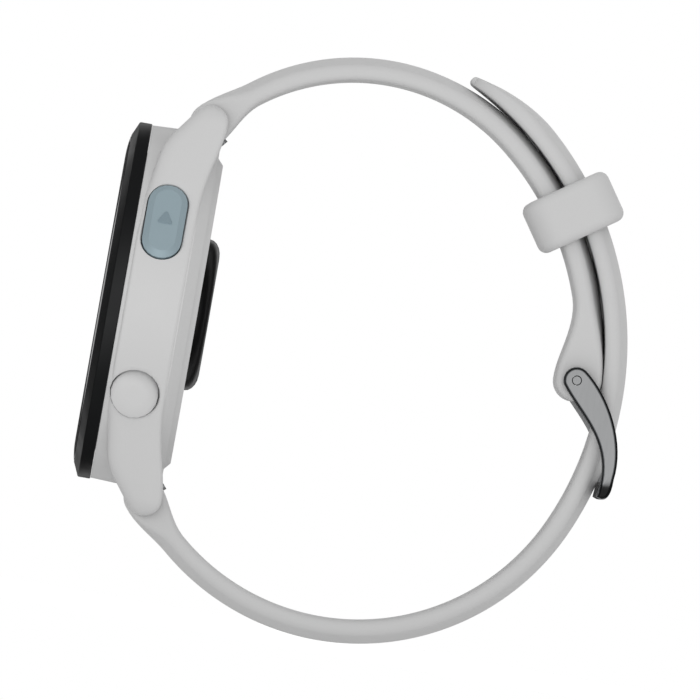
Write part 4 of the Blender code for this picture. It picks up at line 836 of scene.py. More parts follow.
class Flank:
    """One flank of the case with its two lugs, in soft sections from one lug's tip to the other's.

    LUG_FRONT is where a lug's front edge meets its round end, TIP_TURN how far that end is drawn.
    A corner takes no more than CORNER_WIDTH of a section's width and CORNER_DEPTH of its depth.
    From SOFT_FROM of the flank's flat on, the front corner grows to a lug's over SOFT_OVER of it.
    """

    SECTIONS = 72
    TIP_SECTIONS = 12
    CORNER_SEGMENTS = 6
    FACE_SEGMENTS = 4
    CURVE_SEGMENTS = 24
    EASE_STEPS = 4
    EASE = 0.0014
    LUG_FRONT = math.radians(137)
    TIP_TURN = math.radians(88)
    CORNER_WIDTH = 0.45
    CORNER_DEPTH = 0.7
    SOFT_FROM = 0.6
    SOFT_OVER = 0.5
    LEAST_WIDTH = 0.00002
    LEAST_STEP = 1e-9

    def __init__(self, sizes, strap, hand):
        self.sizes = sizes
        self.hand = hand
        self.bar = Vector((strap.bar_x, strap.bar_z))
        self.end = self.bar.y + sizes.lug_tip
        self.front = self.front_points()
        self.rear = self.rear_points()

    def front_points(self):
        """Front edge from the middle of the flank to the lug's end, in the side view."""
        sizes = self.sizes
        points = [Vector((sizes.flank_x, 0)), Vector((sizes.flank_x, sizes.flank_flat))]
        points.append(Vector((sizes.shoulder_x, sizes.shoulder_z)))
        return points + arc(self.bar, sizes.lug_tip, self.LUG_FRONT, math.pi / 2, self.CURVE_SEGMENTS)

    def rear_points(self):
        """Rear edge from the middle of the flank to the lug's end, in the side view."""
        sizes = self.sizes
        tip = self.bar + Vector((sizes.lug_tip, 0))
        hook = tip - Vector((0, sizes.lug_hook))
        joins = Vector((sizes.chamfer_x, sizes.flank_flat))
        run_out = joins + Vector((0, sizes.lug_run_out))
        points = [Vector((sizes.chamfer_x, 0))] + bezier(joins, run_out, hook, tip, self.CURVE_SEGMENTS)
        return points + arc(self.bar, sizes.lug_tip, 0, math.pi / 2, self.CURVE_SEGMENTS)

    def edge_x(self, points, z):
        """Where an edge lies at a height, its corners eased."""
        ease = self.EASE * smooth((self.end - abs(z)) / (2 * self.sizes.lug_tip))
        steps = range(-self.EASE_STEPS, self.EASE_STEPS + 1)
        places = [self.cornered_x(points, abs(z) + ease * i / self.EASE_STEPS) for i in steps]
        return sum(places) / len(places)

    def cornered_x(self, points, z):
        """Where an edge lies at a height, with its corners; it is the same below the middle as above."""
        level = abs(z)
        for near, far in zip(points, points[1:]):
            if far.y >= level:
                step = max(far.y - near.y, self.LEAST_STEP)
                return near.x + (far.x - near.x) * (level - near.y) / step
        return points[-1].x

    def outside(self, z):
        """Distance of the outer face from the watch's middle, with the lug's soft end."""
        soft = self.sizes.tip_round
        return flank_out(self.sizes, z) - round_drop(abs(z) - self.end + soft, soft)

    def inside(self, z):
        """Distance of the inner face: inside the round wall, then the gap between the lugs."""
        half_gap = self.sizes.lug_gap / 2
        return max(half_gap, math.sqrt(max(0, self.sizes.root**2 - z**2)))

    def section(self, z):
        """Section at a height: a front corner, a slightly crowned face and a rear corner."""
        sizes = self.sizes
        front = self.edge_x(self.front, z)
        rear = max(self.edge_x(self.rear, z), front + self.LEAST_WIDTH)
        outer = self.outside(z)
        depth = outer - self.inside(z)
        share = smooth((abs(z) - self.SOFT_FROM * sizes.flank_flat) / (self.SOFT_OVER * sizes.flank_flat))
        soft = sizes.flank_round + (sizes.lug_round - sizes.flank_round) * share
        soft_x = min(soft, self.CORNER_WIDTH * (rear - front))
        rear_x = min(sizes.rear_round, self.CORNER_WIDTH * (rear - front))
        points = [(front, outer - depth)]
        for turn in quarter(self.CORNER_SEGMENTS):
            drop = min(soft, self.CORNER_DEPTH * depth) * (1 - math.sin(turn))
            points.append((front + soft_x * (1 - math.cos(turn)), outer - drop))
        start = front + soft_x
        end = rear - rear_x
        for i in range(1, self.FACE_SEGMENTS):
            across = i / self.FACE_SEGMENTS
            swell = 4 * sizes.flank_crown * across * (1 - across)
            points.append((start + (end - start) * across, outer + swell))
        for turn in quarter(self.CORNER_SEGMENTS):
            drop = min(sizes.rear_round, self.CORNER_DEPTH * depth) * (1 - math.cos(turn))
            points.append((end + rear_x * math.sin(turn), outer - drop))
        points.append((rear, outer - depth))
        return [(x, self.hand * y, z) for x, y in points]

    def mesh(self):
        """Skin over the flank and its lugs."""
        half = [self.bar.y * i / (self.SECTIONS / 2) for i in range(self.SECTIONS // 2)]
        tip_turns = [self.TIP_TURN * i / self.TIP_SECTIONS for i in range(self.TIP_SECTIONS + 1)]
        half += [self.bar.y + self.sizes.lug_tip * math.sin(turn) for turn in tip_turns]
        heights = [-z for z in reversed(half[1:])] + half
        return skin([self.section(z) for z in heights])


class WATCH_OT_case(bpy.types.Operator):
    """Make the case with soft flanks and lugs"""

    bl_idname = "watch.case"
    bl_label = "Case"

    POCKET_DEPTH = 0.003
    POCKET_RISE = 0.001
    POCKET_FLARE = 0.002
    RIM_SEGMENTS = 4
    END_SEGMENTS = 20

    def execute(self, context):
        sizes = context.scene.watch_case
        strap = context.scene.watch_strap
        wall = cut(cad_copy("case_body"), [self.turned_wall(sizes)], "INTERSECT")
        round_size = (sizes.button_width, sizes.button_width)
        # Known fault: the cut at z = 0 fails, so the flank stays closed round the middle button.
        pockets = {
            -1: [(sizes.start_z, sizes.start_length, sizes.start_width), (-sizes.button_z, *round_size)],
            1: [(z, *round_size) for z in (sizes.button_z, 0, -sizes.button_z)],
        }
        reach = sizes.lug_gap / 2 + sizes.bar_reach
        flanks = []
        for hand, places in pockets.items():
            tools = [self.pocket(sizes, hand, *place) for place in places]
            for z in (strap.bar_z, -strap.bar_z):
                tools.append(cylinder(across_frame(strap.bar_x, z), sizes.bar_hole, -reach, reach))
            flanks.append(cut(Flank(sizes, strap, hand).mesh(), tools))
        mesh = cut(wall, flanks, "UNION")
        add_piece("moulded_case", mesh, "watch", "case_nylon", ["case_body"])
        return {"FINISHED"}

    def turned_wall(self, sizes):
        """Tool that keeps what lies inside the finely turned outer wall and rear chamfer."""
        slope = (sizes.radius + sizes.bulge - sizes.rim_radius) / (sizes.rim_x - sizes.chamfer_x)
        profile = [
            (sizes.seat_x - TOOL_OVERLAP, sizes.radius),
            (sizes.seat_x, sizes.radius),
            (sizes.seat_x + sizes.bulge_length, sizes.radius + sizes.bulge),
            (sizes.chamfer_x, sizes.radius + sizes.bulge),
            (sizes.rim_x, sizes.rim_radius),
            (sizes.rim_x + TOOL_OVERLAP, sizes.rim_radius - slope * TOOL_OVERLAP),
        ]
        return turned([(x, radius - sizes.skim) for x, radius in profile])

    def pocket(self, sizes, hand, z, length, width):
        """Tool that opens a flank for a button, with a soft rim."""
        place = button_place(sizes, hand, z)
        levels = [(-self.POCKET_DEPTH, 0)]
        for turn in quarter(self.RIM_SEGMENTS):
            level = sizes.pocket_rim * (math.sin(turn) - 1)
            levels.append((level, sizes.pocket_rim * (1 - math.cos(turn))))
        levels.append((self.POCKET_RISE, sizes.pocket_rim + self.POCKET_FLARE))
        rings = []
        for level, widen in levels:
            spread = 2 * (sizes.pocket_gap + widen)
            outline = stadium(length + spread, width + spread, self.END_SEGMENTS)
            rings += placed(place, outline, (level,))
        return skin(rings)


class WATCH_OT_head(bpy.types.Operator):
    """Make the glass and the rear cover; finish the bezel and the pieces inside"""

    bl_idname = "watch.head"
    bl_label = "Head"

    GLASS_STEPS = 8
    BEZEL_EDGE = 0.00012
    CONTACT_EDGE = 0.00008
    SCREW_EDGE = 0.00005
    FINISHES = {
        "sensor_window": "sensor_polycarbonate",
        "display_module": "front_glass",
        "gps_antenna": "sheet_brass",
        "beeper": "sheet_brass",
        "chassis": "inner_nylon",
        "main_board": "solder_mask",
        "sensor_board": "solder_mask",
        "battery": "pouch_foil",
        "vibration_motor": "bar_steel",
        "cover_gasket": "seal_rubber",
        "charge_port": "inner_nylon",
    }

    def execute(self, context):
        self.cover(context.scene.watch_case)
        dress("bezel", "bezel_nylon", self.BEZEL_EDGE)
        self.glass(context.scene.watch_case)
        for node, finish in self.FINISHES.items():
            dress(node, finish)
        for i in range(1, 5):
            dress(f"charge_pin_{i}", "contact_gold", self.CONTACT_EDGE)
            dress(f"cover_screw_{i}", "bar_steel", self.SCREW_EDGE)
        return {"FINISHED"}

    def glass(self, sizes):
        """Front glass, flat in the middle and rounding off towards the bezel."""
        low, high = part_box("lens")
        profile = [(high[0], high[1])]
        for i in range(self.GLASS_STEPS, -1, -1):
            share = i / self.GLASS_STEPS
            drop = sizes.glass_drop * share**2
            profile.append((low[0] + drop, high[1] - sizes.glass_edge * (1 - share)))
        add_piece("rounded_glass", turned(profile), "watch", "front_glass", ["lens"])

    def cover(self, sizes):
        """Rear cover whose rim slopes on with the case's rear chamfer."""
        low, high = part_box("rear_cover")
        radius = high[1] - sizes.skim
        slope = sizes.cover_chamfer / (high[0] - sizes.rim_x)
        end = high[0] + TOOL_OVERLAP
        profile = [(low[0] - TOOL_OVERLAP, radius), (sizes.rim_x, radius)]
        profile.append((end, radius - slope * (end - sizes.rim_x)))
        mesh = cut(cad_copy("rear_cover"), [turned(profile)], "INTERSECT")
        add_piece("chamfered_cover", mesh, "watch", "case_nylon", ["rear_cover"])


class WATCH_OT_buttons(bpy.types.Operator):
    """Make the leaning round buttons; finish the others, the seals, retaining rings and switches"""

    bl_idname = "watch.buttons"
    bl_label = "Buttons"

    CAP_SKIRT = 0.0003
    DIP_WIDTH = 0.0017
    DIP_POWER = 1.5
    DIP_TO_WRIST = 0.6
    MARK_REACH = 0.00075
    MARK_CORNER = 0.0002
    MARK_SINK = 0.0001
    MARK_WALL = 0.00007
    MARK_RISE = 0.0001
    MARK_TOP_SHARE = 0.93
    CORNER_SEGMENTS = 6
    FLATNESS = 0.00001

    def execute(self, context):
        sizes = context.scene.watch_case
        dress("button_start", "start_lacquer")
        dress("button_up", "case_nylon")
        self.upright("back", -1, -sizes.button_z, sizes)
        self.upright("light", 1, sizes.button_z, sizes)
        self.upright("down", 1, -sizes.button_z, sizes)
        for name in BUTTONS:
            dress(f"seal_{name}", "seal_rubber")
            dress(f"clip_{name}", "bar_steel")
            dress(f"switch_{name}", "bar_steel")
        self.start_mark(sizes)
        return {"FINISHED"}

    def upright(self, name, hand, z, sizes):
        """Round button whose top stands more upright than the leaning flank and dips at its inner end."""
        place = button_place(sizes, hand, z)
        to_button = place.inverted()
        radius = sizes.button_width / 2
        mesh = cad_copy(f"button_{name}")
        for vertex in mesh.vertices:
            point = to_button @ vertex.co
            if point.z > -self.CAP_SKIRT:
                away = (vertex.co - place.translation).z * math.copysign(1, z)
                edge = max(0, 1 - (radius - point.xy.length) / self.DIP_WIDTH) ** self.DIP_POWER
                inner = max(0, self.DIP_TO_WRIST * point.x - away) / radius
                point.z += sizes.button_tilt * away - sizes.button_dip * edge * inner
                vertex.co = place @ point
        replaced = [f"button_{name}"]
        add_piece(f"upright_{name}", mesh, f"{name}_button", "case_nylon", replaced)

    def start_mark(self, sizes):
        """Small raised start triangle in the middle of the start button's flat top; painted shade darkens
        it.
        """
        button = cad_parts["button_start"]
        place = button_place(sizes, -1, sizes.start_z)
        out = place.col[2].to_3d()
        points = [button.matrix_world @ vertex.co for vertex in button.data.vertices]
        top = max(point.dot(out) for point in points)
        flat = [point for point in points if top - point.dot(out) < self.FLATNESS]
        place.translation = sum(flat, Vector()) / len(flat)
        bend = math.pi / 3
        outline = []
        for corner in (90, 210, 330):
            angle = math.radians(corner)
            centre = self.MARK_REACH * unit(angle)
            outline += arc(centre, self.MARK_CORNER, angle - bend, angle + bend, self.CORNER_SEGMENTS)
        rings = placed(place, outline, (-self.MARK_SINK, self.MARK_WALL))
        rings += placed(place, [self.MARK_TOP_SHARE * point for point in outline], (self.MARK_RISE,))
        add_piece("start_mark", skin(rings), "start_button", "mark_lacquer")


class WATCH_OT_straps(bpy.types.Operator):
    """Make the two moulded strap halves"""

    bl_idname = "watch.straps"
    bl_label = "Straps"

    LAYER_ROOM = 0.0001
    PIN_SEGMENTS = 16
    TONGUE_RADIUS = 0.00165
    TONGUE_LOW = math.radians(-64)
    TONGUE_HIGH = math.radians(-8)
    TONGUE_WRAP = math.radians(40)
    WRAP_SEGMENTS = 20
    MOUTH_SEGMENTS = 6
    TAIL_POWER = 1.7
    TIP_SEGMENTS = 8
    HOLE_SEGMENTS = 10

    def execute(self, context):
        sizes = context.scene.watch_strap
        buckle = context.scene.watch_buckle
        self.buckle_half(sizes, buckle)
        self.tail_half(sizes, buckle)
        return {"FINISHED"}

    def buckle_half(self, sizes, buckle):
        """Half at twelve o'clock: it ends in a barrel round the buckle's pin."""
        strap = StrapHalf(sizes, sizes.lug_arc_12, sizes.band_radius, sizes.pin_angle, 1)
        rows = []
        swell = sizes.gap - self.LAYER_ROOM
        for distance, _, _ in strap.stations:
            lug = strap.barrel_at(distance)
            reached = distance / strap.length - sizes.filled_from
            filled = smooth(reached / (sizes.filled_at - sizes.filled_from))
            share = smooth((distance - strap.length + sizes.pin_blend) / sizes.pin_blend)
            crown = smooth(distance / sizes.blend) * (1 - share)
            width = strap.width_at(distance)
            rows.append((lug + swell * filled, lug + sizes.barrel * share, width, crown))
        _, end, out = strap.stations[-1]
        pin = end - sizes.thickness / 2 * out
        mesh = strap.mesh(rows, self.pin_end(pin, sizes, sizes.thickness + swell))
        bore = cylinder(across_frame(pin.x, pin.y), buckle.pin, -sizes.width, sizes.width)
        mesh = cut(mesh, strap.bar_tools(buckle.release) + [bore, self.tongue_room(pin, sizes)])
        replaced = ["strap_buckle_half"]
        add_piece("moulded_buckle_half", mesh, "watch", "strap_silicone", replaced)

    def pin_end(self, pin, sizes, outer_reach):
        """Round end about the pin, from the strap's outer face to its inner one."""
        points = []
        for i in range(1, self.PIN_SEGMENTS):
            turn = math.pi * i / self.PIN_SEGMENTS
            reach = sizes.barrel + (outer_reach - sizes.barrel) * max(0, math.cos(turn)) ** 2
            out = unit(sizes.pin_angle - turn)
            points.append((pin + reach * out, out))
        return points

    def tongue_room(self, pin, sizes):
        """Tool for the slot that the tongue turns in."""
        start = self.TONGUE_HIGH + self.TONGUE_WRAP
        end = self.TONGUE_LOW - self.TONGUE_WRAP + 2 * math.pi
        outline = arc(pin, self.TONGUE_RADIUS, start, end, self.WRAP_SEGMENTS)
        outline += arc(pin, 2 * sizes.barrel, self.TONGUE_LOW, self.TONGUE_HIGH, self.MOUTH_SEGMENTS)
        half = sizes.used_width / 2
        return skin([[(p.x, y, p.y) for p in outline] for y in (-half, half)])

    def tail_half(self, sizes, buckle):
        """Half at six o'clock: a row of holes and a free tail that thins out."""
        radius = sizes.band_radius + sizes.thickness + sizes.gap
        strap = StrapHalf(sizes, sizes.lug_arc_6, radius, sizes.tail_angle, -1, sizes.tail_taper)
        rows = []
        for distance, _, _ in strap.stations:
            lug = strap.barrel_at(distance)
            share = max(0, (distance - strap.length + sizes.tail_taper) / sizes.tail_taper)
            thin = (sizes.thickness - sizes.tail_tip) * share**self.TAIL_POWER
            full = strap.width_at(distance)
            narrow = math.sqrt(max(0, 1 - share**2))
            width = sizes.tail_tip_width + (full - sizes.tail_tip_width) * narrow
            crown = smooth(distance / sizes.blend) * (1 - share)
            rows.append((lug - thin, lug, width, crown))
        _, point, out = strap.stations[-1]
        tip = sizes.tail_tip / 2
        middle = point - (sizes.thickness / 2 - tip) * out
        start = math.atan2(out.y, out.x)
        turn = arc(middle, tip, start, start + math.pi, self.TIP_SEGMENTS)[1:-1]
        end_turn = [(place, (place - middle).normalized()) for place in turn]
        mesh = strap.mesh(rows, end_turn)
        used_at = strap.join_distance + (sizes.used_angle - strap.join) * strap.radius
        free = stadium(sizes.hole_length, sizes.hole_width, self.HOLE_SEGMENTS)
        used = stadium(sizes.used_length, sizes.used_width, self.HOLE_SEGMENTS)
        tools = strap.bar_tools(buckle.release)
        for i in range(-sizes.holes_each_way, sizes.holes_each_way + 1):
            place = strap.frame_at(used_at + i * sizes.hole_pitch)
            tools.append(skin(placed(place, free if i else used, (-sizes.thickness, sizes.thickness))))
        mesh = cut(mesh, tools)
        replaced = ["strap_tail_half"]
        add_piece("moulded_tail_half", mesh, "watch", "strap_silicone", replaced)


class WATCH_OT_keeper(bpy.types.Operator):
    """Make the moulded keeper"""

    bl_idname = "watch.keeper"
    bl_label = "Keeper"

    CORNER_SEGMENTS = 8
    RIM_SEGMENTS = 5
    CLEARANCE = 0.00025
    INNER_RIM = 0.0005

    def execute(self, context):
        sizes = context.scene.watch_strap
        inner = sizes.band_radius - sizes.thickness / 2 - self.CLEARANCE
        outer = sizes.band_radius + 1.5 * sizes.thickness + sizes.gap + self.CLEARANCE
        room_height = outer - inner
        room_width = sizes.end_width + 2 * STRAP_ROOM
        out = from_side(unit(sizes.keeper_angle))
        middle = Vector((sizes.band_x, 0, sizes.band_z)) + (inner + outer) / 2 * out
        place = axes_frame(middle, out, ACROSS, out.cross(ACROSS))
        half = sizes.keeper_length / 2
        height = room_height + sizes.keeper_wall + sizes.keeper_outer_wall
        shift = (sizes.keeper_outer_wall - sizes.keeper_wall) / 2
        width = room_width + 2 * sizes.keeper_side
        rings = []
        for along, inset in self.rims(half, sizes.keeper_edge):
            corner = sizes.keeper_corner - inset
            size = (height - 2 * inset, width - 2 * inset)
            outline = rounded_rectangle(*size, corner, self.CORNER_SEGMENTS)
            rings += placed(place, [(x + shift, y) for x, y in outline], (along,))
        for along, inset in reversed(self.rims(half, self.INNER_RIM)):
            corner = self.CLEARANCE + inset
            size = (room_height + 2 * inset, room_width + 2 * inset)
            rings += placed(place, rounded_rectangle(*size, corner, self.CORNER_SEGMENTS), (along,))
        work = bmesh.new()
        loops = bridged(work, rings)
        bridge(work, loops[-1], loops[0])
        mesh = mesh_from(work)
        add_piece("moulded_keeper", mesh, "keeper", "strap_silicone", ["keeper"])
        return {"FINISHED"}

    def rims(self, half, radius):
        """Places along the keeper and insets that round its two rims."""
        turns = quarter(self.RIM_SEGMENTS)
        end = [(half - radius + radius * math.sin(turn), radius * (1 - math.cos(turn))) for turn in turns]
        return [(-along, inset) for along, inset in reversed(end)] + end


class WATCH_OT_buckle(bpy.types.Operator):
    """Make the buckle's frame and the spring bars' coils; finish tongue, pin and bars"""

    bl_idname = "watch.buckle"
    bl_label = "Buckle and bars"

    # An arm's outline in the side view, with the pin at its origin.
    EYE_START = math.radians(206)
    EYE_END = math.radians(51.6)
    OUTER_HANDLES = (Vector((0.0042, -0.0013)), Vector((0.0069, -0.0065)))
    OUTER_END = Vector((0.00622, -0.0110))
    TIP_HANDLES = (Vector((0.00622, -0.0136)), Vector((0.0054, -0.0138)))
    INNER_END = Vector((0.0045, -0.0133))
    INNER_FACE = Vector((0.00469, -0.0116))
    INNER_HANDLES = (Vector((0.0049, -0.0062)), Vector((0.0009, -0.0039)))
    EYE_SEGMENTS = 20
    ARM_SEGMENTS = 16
    TIP_SEGMENTS = 10
    EDGE_SEGMENTS = 4
    PIN_SEGMENTS = 32
    OVERLAP = 0.0001
    TONGUE_EDGE = 0.0001
    COIL_TURNS = 6
    COIL_SEGMENTS = 24
    WIRE_SEGMENTS = 8

    def execute(self, context):
        self.frame_piece(context.scene.watch_buckle, context.scene.watch_strap)
        dress("buckle_tongue", "buckle_steel", self.TONGUE_EDGE)
        dress("buckle_pin", "buckle_steel")
        for clock in ("12", "6"):
            dress(f"spring_bar_{clock}", "bar_steel")
            dress(f"release_pin_{clock}", "bar_steel")
            self.coil(clock, context.scene.watch_buckle)
        return {"FINISHED"}

    def coil(self, clock, sizes):
        """A spring bar's coil, which the bar's sliding tip presses together."""
        low, high = (Vector(corner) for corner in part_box(f"bar_spring_{clock}"))
        middle = (low + high) / 2
        radius = (high.x - low.x) / 2 - sizes.wire
        round_wire = circle(sizes.wire, self.WIRE_SEGMENTS)
        steps = self.COIL_TURNS * self.COIL_SEGMENTS
        rings = []
        for i in range(steps + 1):
            radial = from_side(unit(2 * math.pi * i / self.COIL_SEGMENTS))
            centre = middle + radius * radial
            centre.y = low.y + sizes.wire + (high.y - low.y - 2 * sizes.wire) * i / steps
            rings.append([centre + point.x * radial + point.y * ACROSS for point in round_wire])
        replaced = [f"bar_spring_{clock}"]
        piece = add_piece(f"coil_{clock}", skin(rings), "watch", "bar_steel", replaced)
        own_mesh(piece)

    def arm_outline(self, sizes):
        """An arm from its eye along the outside to the crossbar and back, clockwise."""
        eye = arc((0, 0), sizes.eye, self.EYE_START, self.EYE_END, self.EYE_SEGMENTS)
        outer = bezier(eye[-1], *self.OUTER_HANDLES, self.OUTER_END, self.ARM_SEGMENTS)
        tip = bezier(self.OUTER_END, *self.TIP_HANDLES, self.INNER_END, self.TIP_SEGMENTS)
        inner = bezier(self.INNER_FACE, *self.INNER_HANDLES, eye[0], self.ARM_SEGMENTS)
        shares = [i / self.TIP_SEGMENTS for i in range(self.TIP_SEGMENTS)]
        crossbar = [self.INNER_END.lerp(self.INNER_FACE, share) for share in shares]
        return eye[:-1] + outer + tip + crossbar + inner

    def side_view(self, sizes, strap):
        """Side-view frame at the pin, turned so that the crossbar lies on the tail."""
        reach = self.INNER_FACE.length
        radial = strap.band_radius - strap.thickness / 2
        target = strap.band_radius + 1.5 * strap.thickness + strap.gap + sizes.rest
        cosine = (radial**2 + reach**2 - target**2) / (2 * radial * reach)
        turn = strap.pin_angle - math.pi + math.acos(cosine)
        turn -= math.atan2(self.INNER_FACE.y, self.INNER_FACE.x)
        along = from_side(unit(turn))
        pin = Vector((strap.band_x, 0, strap.band_z)) + radial * from_side(unit(strap.pin_angle))
        return axes_frame(pin, along, along.cross(ACROSS), -ACROSS)

    def frame_piece(self, sizes, strap):
        """Two arms and the crossbar, forged in one: brushed flats between polished round edges."""
        place = self.side_view(sizes, strap)
        outline = self.arm_outline(sizes)
        half_room = strap.end_width / 2 + STRAP_ROOM
        half = half_room + sizes.arm
        rounds_from = min(point.y for point in outline) + sizes.corner
        side = []
        for turn in quarter(self.EDGE_SEGMENTS):
            level = half - sizes.edge * (1 - math.cos(turn))
            face = drawn_in(outline, sizes.edge * (1 - math.sin(turn)))
            side.append([(x, y, level - round_drop(rounds_from - y, sizes.corner)) for x, y in face])
        rings = [[place @ Vector((x, y, -z)) for x, y, z in ring] for ring in side]
        rings += [[place @ Vector(point) for point in ring] for ring in reversed(side)]
        mesh = self.closed(rings)
        mesh.materials.append(finish_of("buckle_steel"))
        # Polished edges: their darker colour is a painted reflection; the dark side screens add real
        # ones.
        mesh.materials.append(finish_of("polished_steel"))
        top = self.INNER_FACE.y + self.OVERLAP
        far = 3 * self.OUTER_END.x
        window = [(-far, top), (far, top), (far, far), (-far, far)]
        floor = sizes.notch_floor
        notch = [(floor, -far), (far, -far), (far, top + self.OVERLAP), (floor, top + self.OVERLAP)]
        tools = [skin(placed(place, window, (-half_room, half_room)))]
        tools.append(skin(placed(place, notch, (-sizes.notch / 2, sizes.notch / 2))))
        tools.append(cylinder(place, sizes.pin, -2 * half, 2 * half, self.PIN_SEGMENTS))
        add_piece("bevelled_frame", cut(mesh, tools), "frame", "buckle_steel", ["buckle_frame"])

    def closed(self, rings):
        """Skin through the rings: polished between them, brushed on the strips that close both sides."""
        work = bmesh.new()
        loops = bridged(work, rings)
        for face in work.faces:
            face.material_index = 1
        count = len(loops[0])
        top = self.EYE_SEGMENTS // 2
        for loop in (loops[0], loops[-1]):
            for i in range(count // 2 - 1):
                corners = (top + i, top + i + 1, top - 2 - i, top - 1 - i)
                work.faces.new([loop[corner % count] for corner in corners])
        return mesh_from(work)


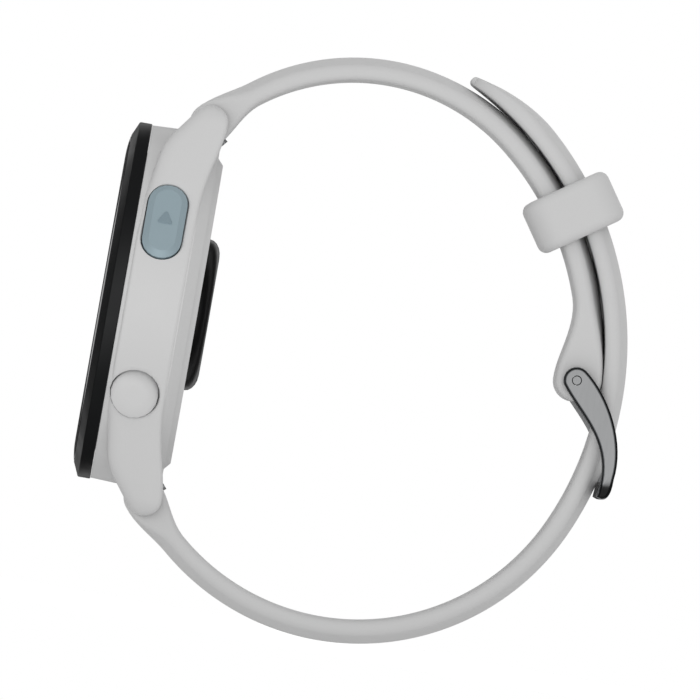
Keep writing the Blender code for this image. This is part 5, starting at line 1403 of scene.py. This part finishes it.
class WATCH_OT_stage(bpy.types.Operator):
    """Set up the camera, the floor and the light"""

    bl_idname = "watch.stage"
    bl_label = "Stage"

    SENSOR_WIDTH = 36
    CLIP_END = 20
    KEY_PLACE = Vector((-0.1, -1.4, 0))
    FILL_PLACE = Vector((0.6, 1.2, 0.5))
    LAMP_SIZE = 1.0
    FLOOR_RADIUS = 0.22
    FLOOR_SEGMENTS = 64
    FLOOR_GAP = 0.0002
    FLOOR_GLOW = 1.25
    GLOW_SHARE = 0.7
    FADE_FROM = 0.5
    FADE_TO = 0.95

    def execute(self, context):
        settings = context.scene.watch_stage
        self.camera(context.scene, settings)
        self.light(context.scene, settings)
        self.floor()
        context.scene.view_settings.view_transform = "Standard"
        return {"FINISHED"}

    def camera(self, scene, settings):
        """Long lens, almost square to the three o'clock side."""
        lens = bpy.data.cameras.new("camera")
        lens.sensor_width = self.SENSOR_WIDTH
        lens.lens = lens.sensor_width * settings.distance / settings.picture
        lens.clip_end = self.CLIP_END
        sight = Vector((math.tan(settings.turn), 1, math.tan(settings.rise))).normalized()
        target = Vector((settings.target_x, 0, settings.target_z))
        turn = sight.to_track_quat("-Z", "Y").to_matrix().to_4x4()
        turn @= Matrix.Rotation(settings.roll, 4, "Z")
        scene.camera = new_object("camera", lens)
        scene.camera.matrix_world = Matrix.Translation(target - settings.distance * sight) @ turn

    def light(self, scene, settings):
        """Even light from all round, white to the camera, and large lamps by the camera and behind.

        Mirrored rays see white before the watch, dark screens at its sides and a pale ring behind it.
        """
        world = bpy.data.worlds.new("studio")
        world.use_nodes = True
        scene.world = world
        tree = world.node_tree
        rays = add_node(tree, "ShaderNodeLightPath")
        way = add_node(tree, "ShaderNodeTexCoord").outputs["Generated"]
        level = add_node(tree, "ShaderNodeSeparateXYZ", {0: way}).outputs["Y"]
        share = {"Value": level, "From Min": -1.0, "From Max": 1.0}
        share = add_node(tree, "ShaderNodeMapRange", share).outputs[0]
        screens = add_node(tree, "ShaderNodeValToRGB", {0: share})
        # What a mirrored ray sees, by how far its direction points from before the watch to behind it.
        stops = {
            -0.96: 1.0,
            -0.72: settings.side,
            0.82: settings.side,
            0.90: settings.ring,
            0.945: settings.ring,
            0.97: settings.side,
        }
        while len(screens.color_ramp.elements) < len(stops):
            screens.color_ramp.elements.new(1)
        for element, (place, bright) in zip(screens.color_ramp.elements, stops.items()):
            element.position = (place + 1) / 2
            element.color = (bright, bright, bright, 1)
        glossy = {0: rays.outputs["Is Glossy Ray"], 2: settings.ambient, 3: screens.outputs[0]}
        strength = add_node(tree, "ShaderNodeMix", glossy, data_type="FLOAT").outputs[0]
        clear = {0: rays.outputs["Is Camera Ray"], 1: rays.outputs["Is Transmission Ray"]}
        clear = add_node(tree, "ShaderNodeMath", clear, operation="MAXIMUM").outputs[0]
        strength = add_node(tree, "ShaderNodeMix", {0: clear, 2: strength, 3: 1.0}, data_type="FLOAT")
        back = tree.nodes["Background"]
        back.inputs["Color"].default_value = (1, 1, 1, 1)
        tree.links.new(strength.outputs[0], back.inputs["Strength"])
        self.lamp("key_lamp", self.KEY_PLACE, settings.key)
        self.lamp("fill_lamp", self.FILL_PLACE, settings.fill)

    def lamp(self, name, place, power):
        """Large round lamp that faces the watch and isn't mirrored in it."""
        lamp = bpy.data.lights.new(name, "AREA")
        lamp.shape = "DISK"
        lamp.size = self.LAMP_SIZE
        lamp.energy = power
        obj = new_object(name, lamp)
        obj.location = place
        obj.rotation_euler = (-place).to_track_quat("-Z", "Y").to_euler()
        obj.visible_glossy = False

    def floor(self):
        """White disc under the strap, which keeps a soft shadow and fades out into the background."""
        work = bmesh.new()
        outline = circle(self.FLOOR_RADIUS, self.FLOOR_SEGMENTS)
        work.faces.new([work.verts.new((x, y, 0)) for x, y in outline])
        obj = new_object("floor", mesh_from(work))
        obj.location = (0, 0, cad_box[0][2] - self.FLOOR_GAP)
        sockets = {"Base Color": linear("F4F4F4"), "Roughness": 0.9}
        made, tree, shader = new_material("white_floor", sockets)
        glow = add_node(tree, "ShaderNodeEmission", {"Color": (1, 1, 1, 1), "Strength": self.FLOOR_GLOW})
        rays = add_node(tree, "ShaderNodeLightPath")
        share = {0: rays.outputs["Is Camera Ray"], 1: self.GLOW_SHARE}
        share = add_node(tree, "ShaderNodeMath", share, operation="MULTIPLY").outputs[0]
        lit = add_node(tree, "ShaderNodeMixShader", {0: share, 1: shader.outputs[0], 2: glow.outputs[0]})
        place = add_node(tree, "ShaderNodeTexCoord").outputs["Object"]
        reach = add_node(tree, "ShaderNodeVectorMath", {0: place}, operation="LENGTH").outputs["Value"]
        limits = {"Value": reach, "From Min": self.FADE_FROM * self.FLOOR_RADIUS}
        limits["From Max"] = self.FADE_TO * self.FLOOR_RADIUS
        fade = add_node(tree, "ShaderNodeMapRange", limits).outputs[0]
        clear = add_node(tree, "ShaderNodeBsdfTransparent")
        end = add_node(tree, "ShaderNodeMixShader", {0: fade, 1: lit.outputs[0], 2: clear.outputs[0]})
        tree.links.new(end.outputs[0], tree.nodes["Material Output"].inputs["Surface"])
        obj.data.materials.append(made)
        obj.visible_diffuse = False
        obj.visible_glossy = False


class VIEW3D_PT_watch(bpy.types.Panel):
    """Steps that dress the watch"""

    bl_label = "Running watch"
    bl_space_type = "VIEW_3D"
    bl_region_type = "UI"
    bl_category = "Watch"

    def draw(self, context):
        for step in STEPS:
            self.layout.operator(step.bl_idname)


STEPS = (
    WATCH_OT_stage,
    WATCH_OT_case,
    WATCH_OT_head,
    WATCH_OT_buttons,
    WATCH_OT_straps,
    WATCH_OT_keeper,
    WATCH_OT_buckle,
)
GROUPS = {
    "watch_finishes": WatchFinishes,
    "watch_case": WatchCase,
    "watch_strap": WatchStrap,
    "watch_buckle": WatchBuckle,
    "watch_stage": WatchStage,
}


def register():
    """Register the settings, the steps and the panel."""
    for group in GROUPS.values():
        bpy.utils.register_class(group)
    for name, group in GROUPS.items():
        setattr(bpy.types.Scene, name, PointerProperty(type=group))
    for step in (*STEPS, VIEW3D_PT_watch):
        bpy.utils.register_class(step)


def unregister():
    """Undo what register does."""
    for step in reversed((*STEPS, VIEW3D_PT_watch)):
        bpy.utils.unregister_class(step)
    for name, group in reversed(GROUPS.items()):
        delattr(bpy.types.Scene, name)
        bpy.utils.unregister_class(group)


def main():
    """Set the stage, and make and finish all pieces."""
    register()
    bpy.ops.watch.stage()
    bpy.ops.watch.case()
    bpy.ops.watch.head()
    bpy.ops.watch.buttons()
    bpy.ops.watch.straps()
    bpy.ops.watch.keeper()
    bpy.ops.watch.buckle()


if __name__ == "__main__":
    main()
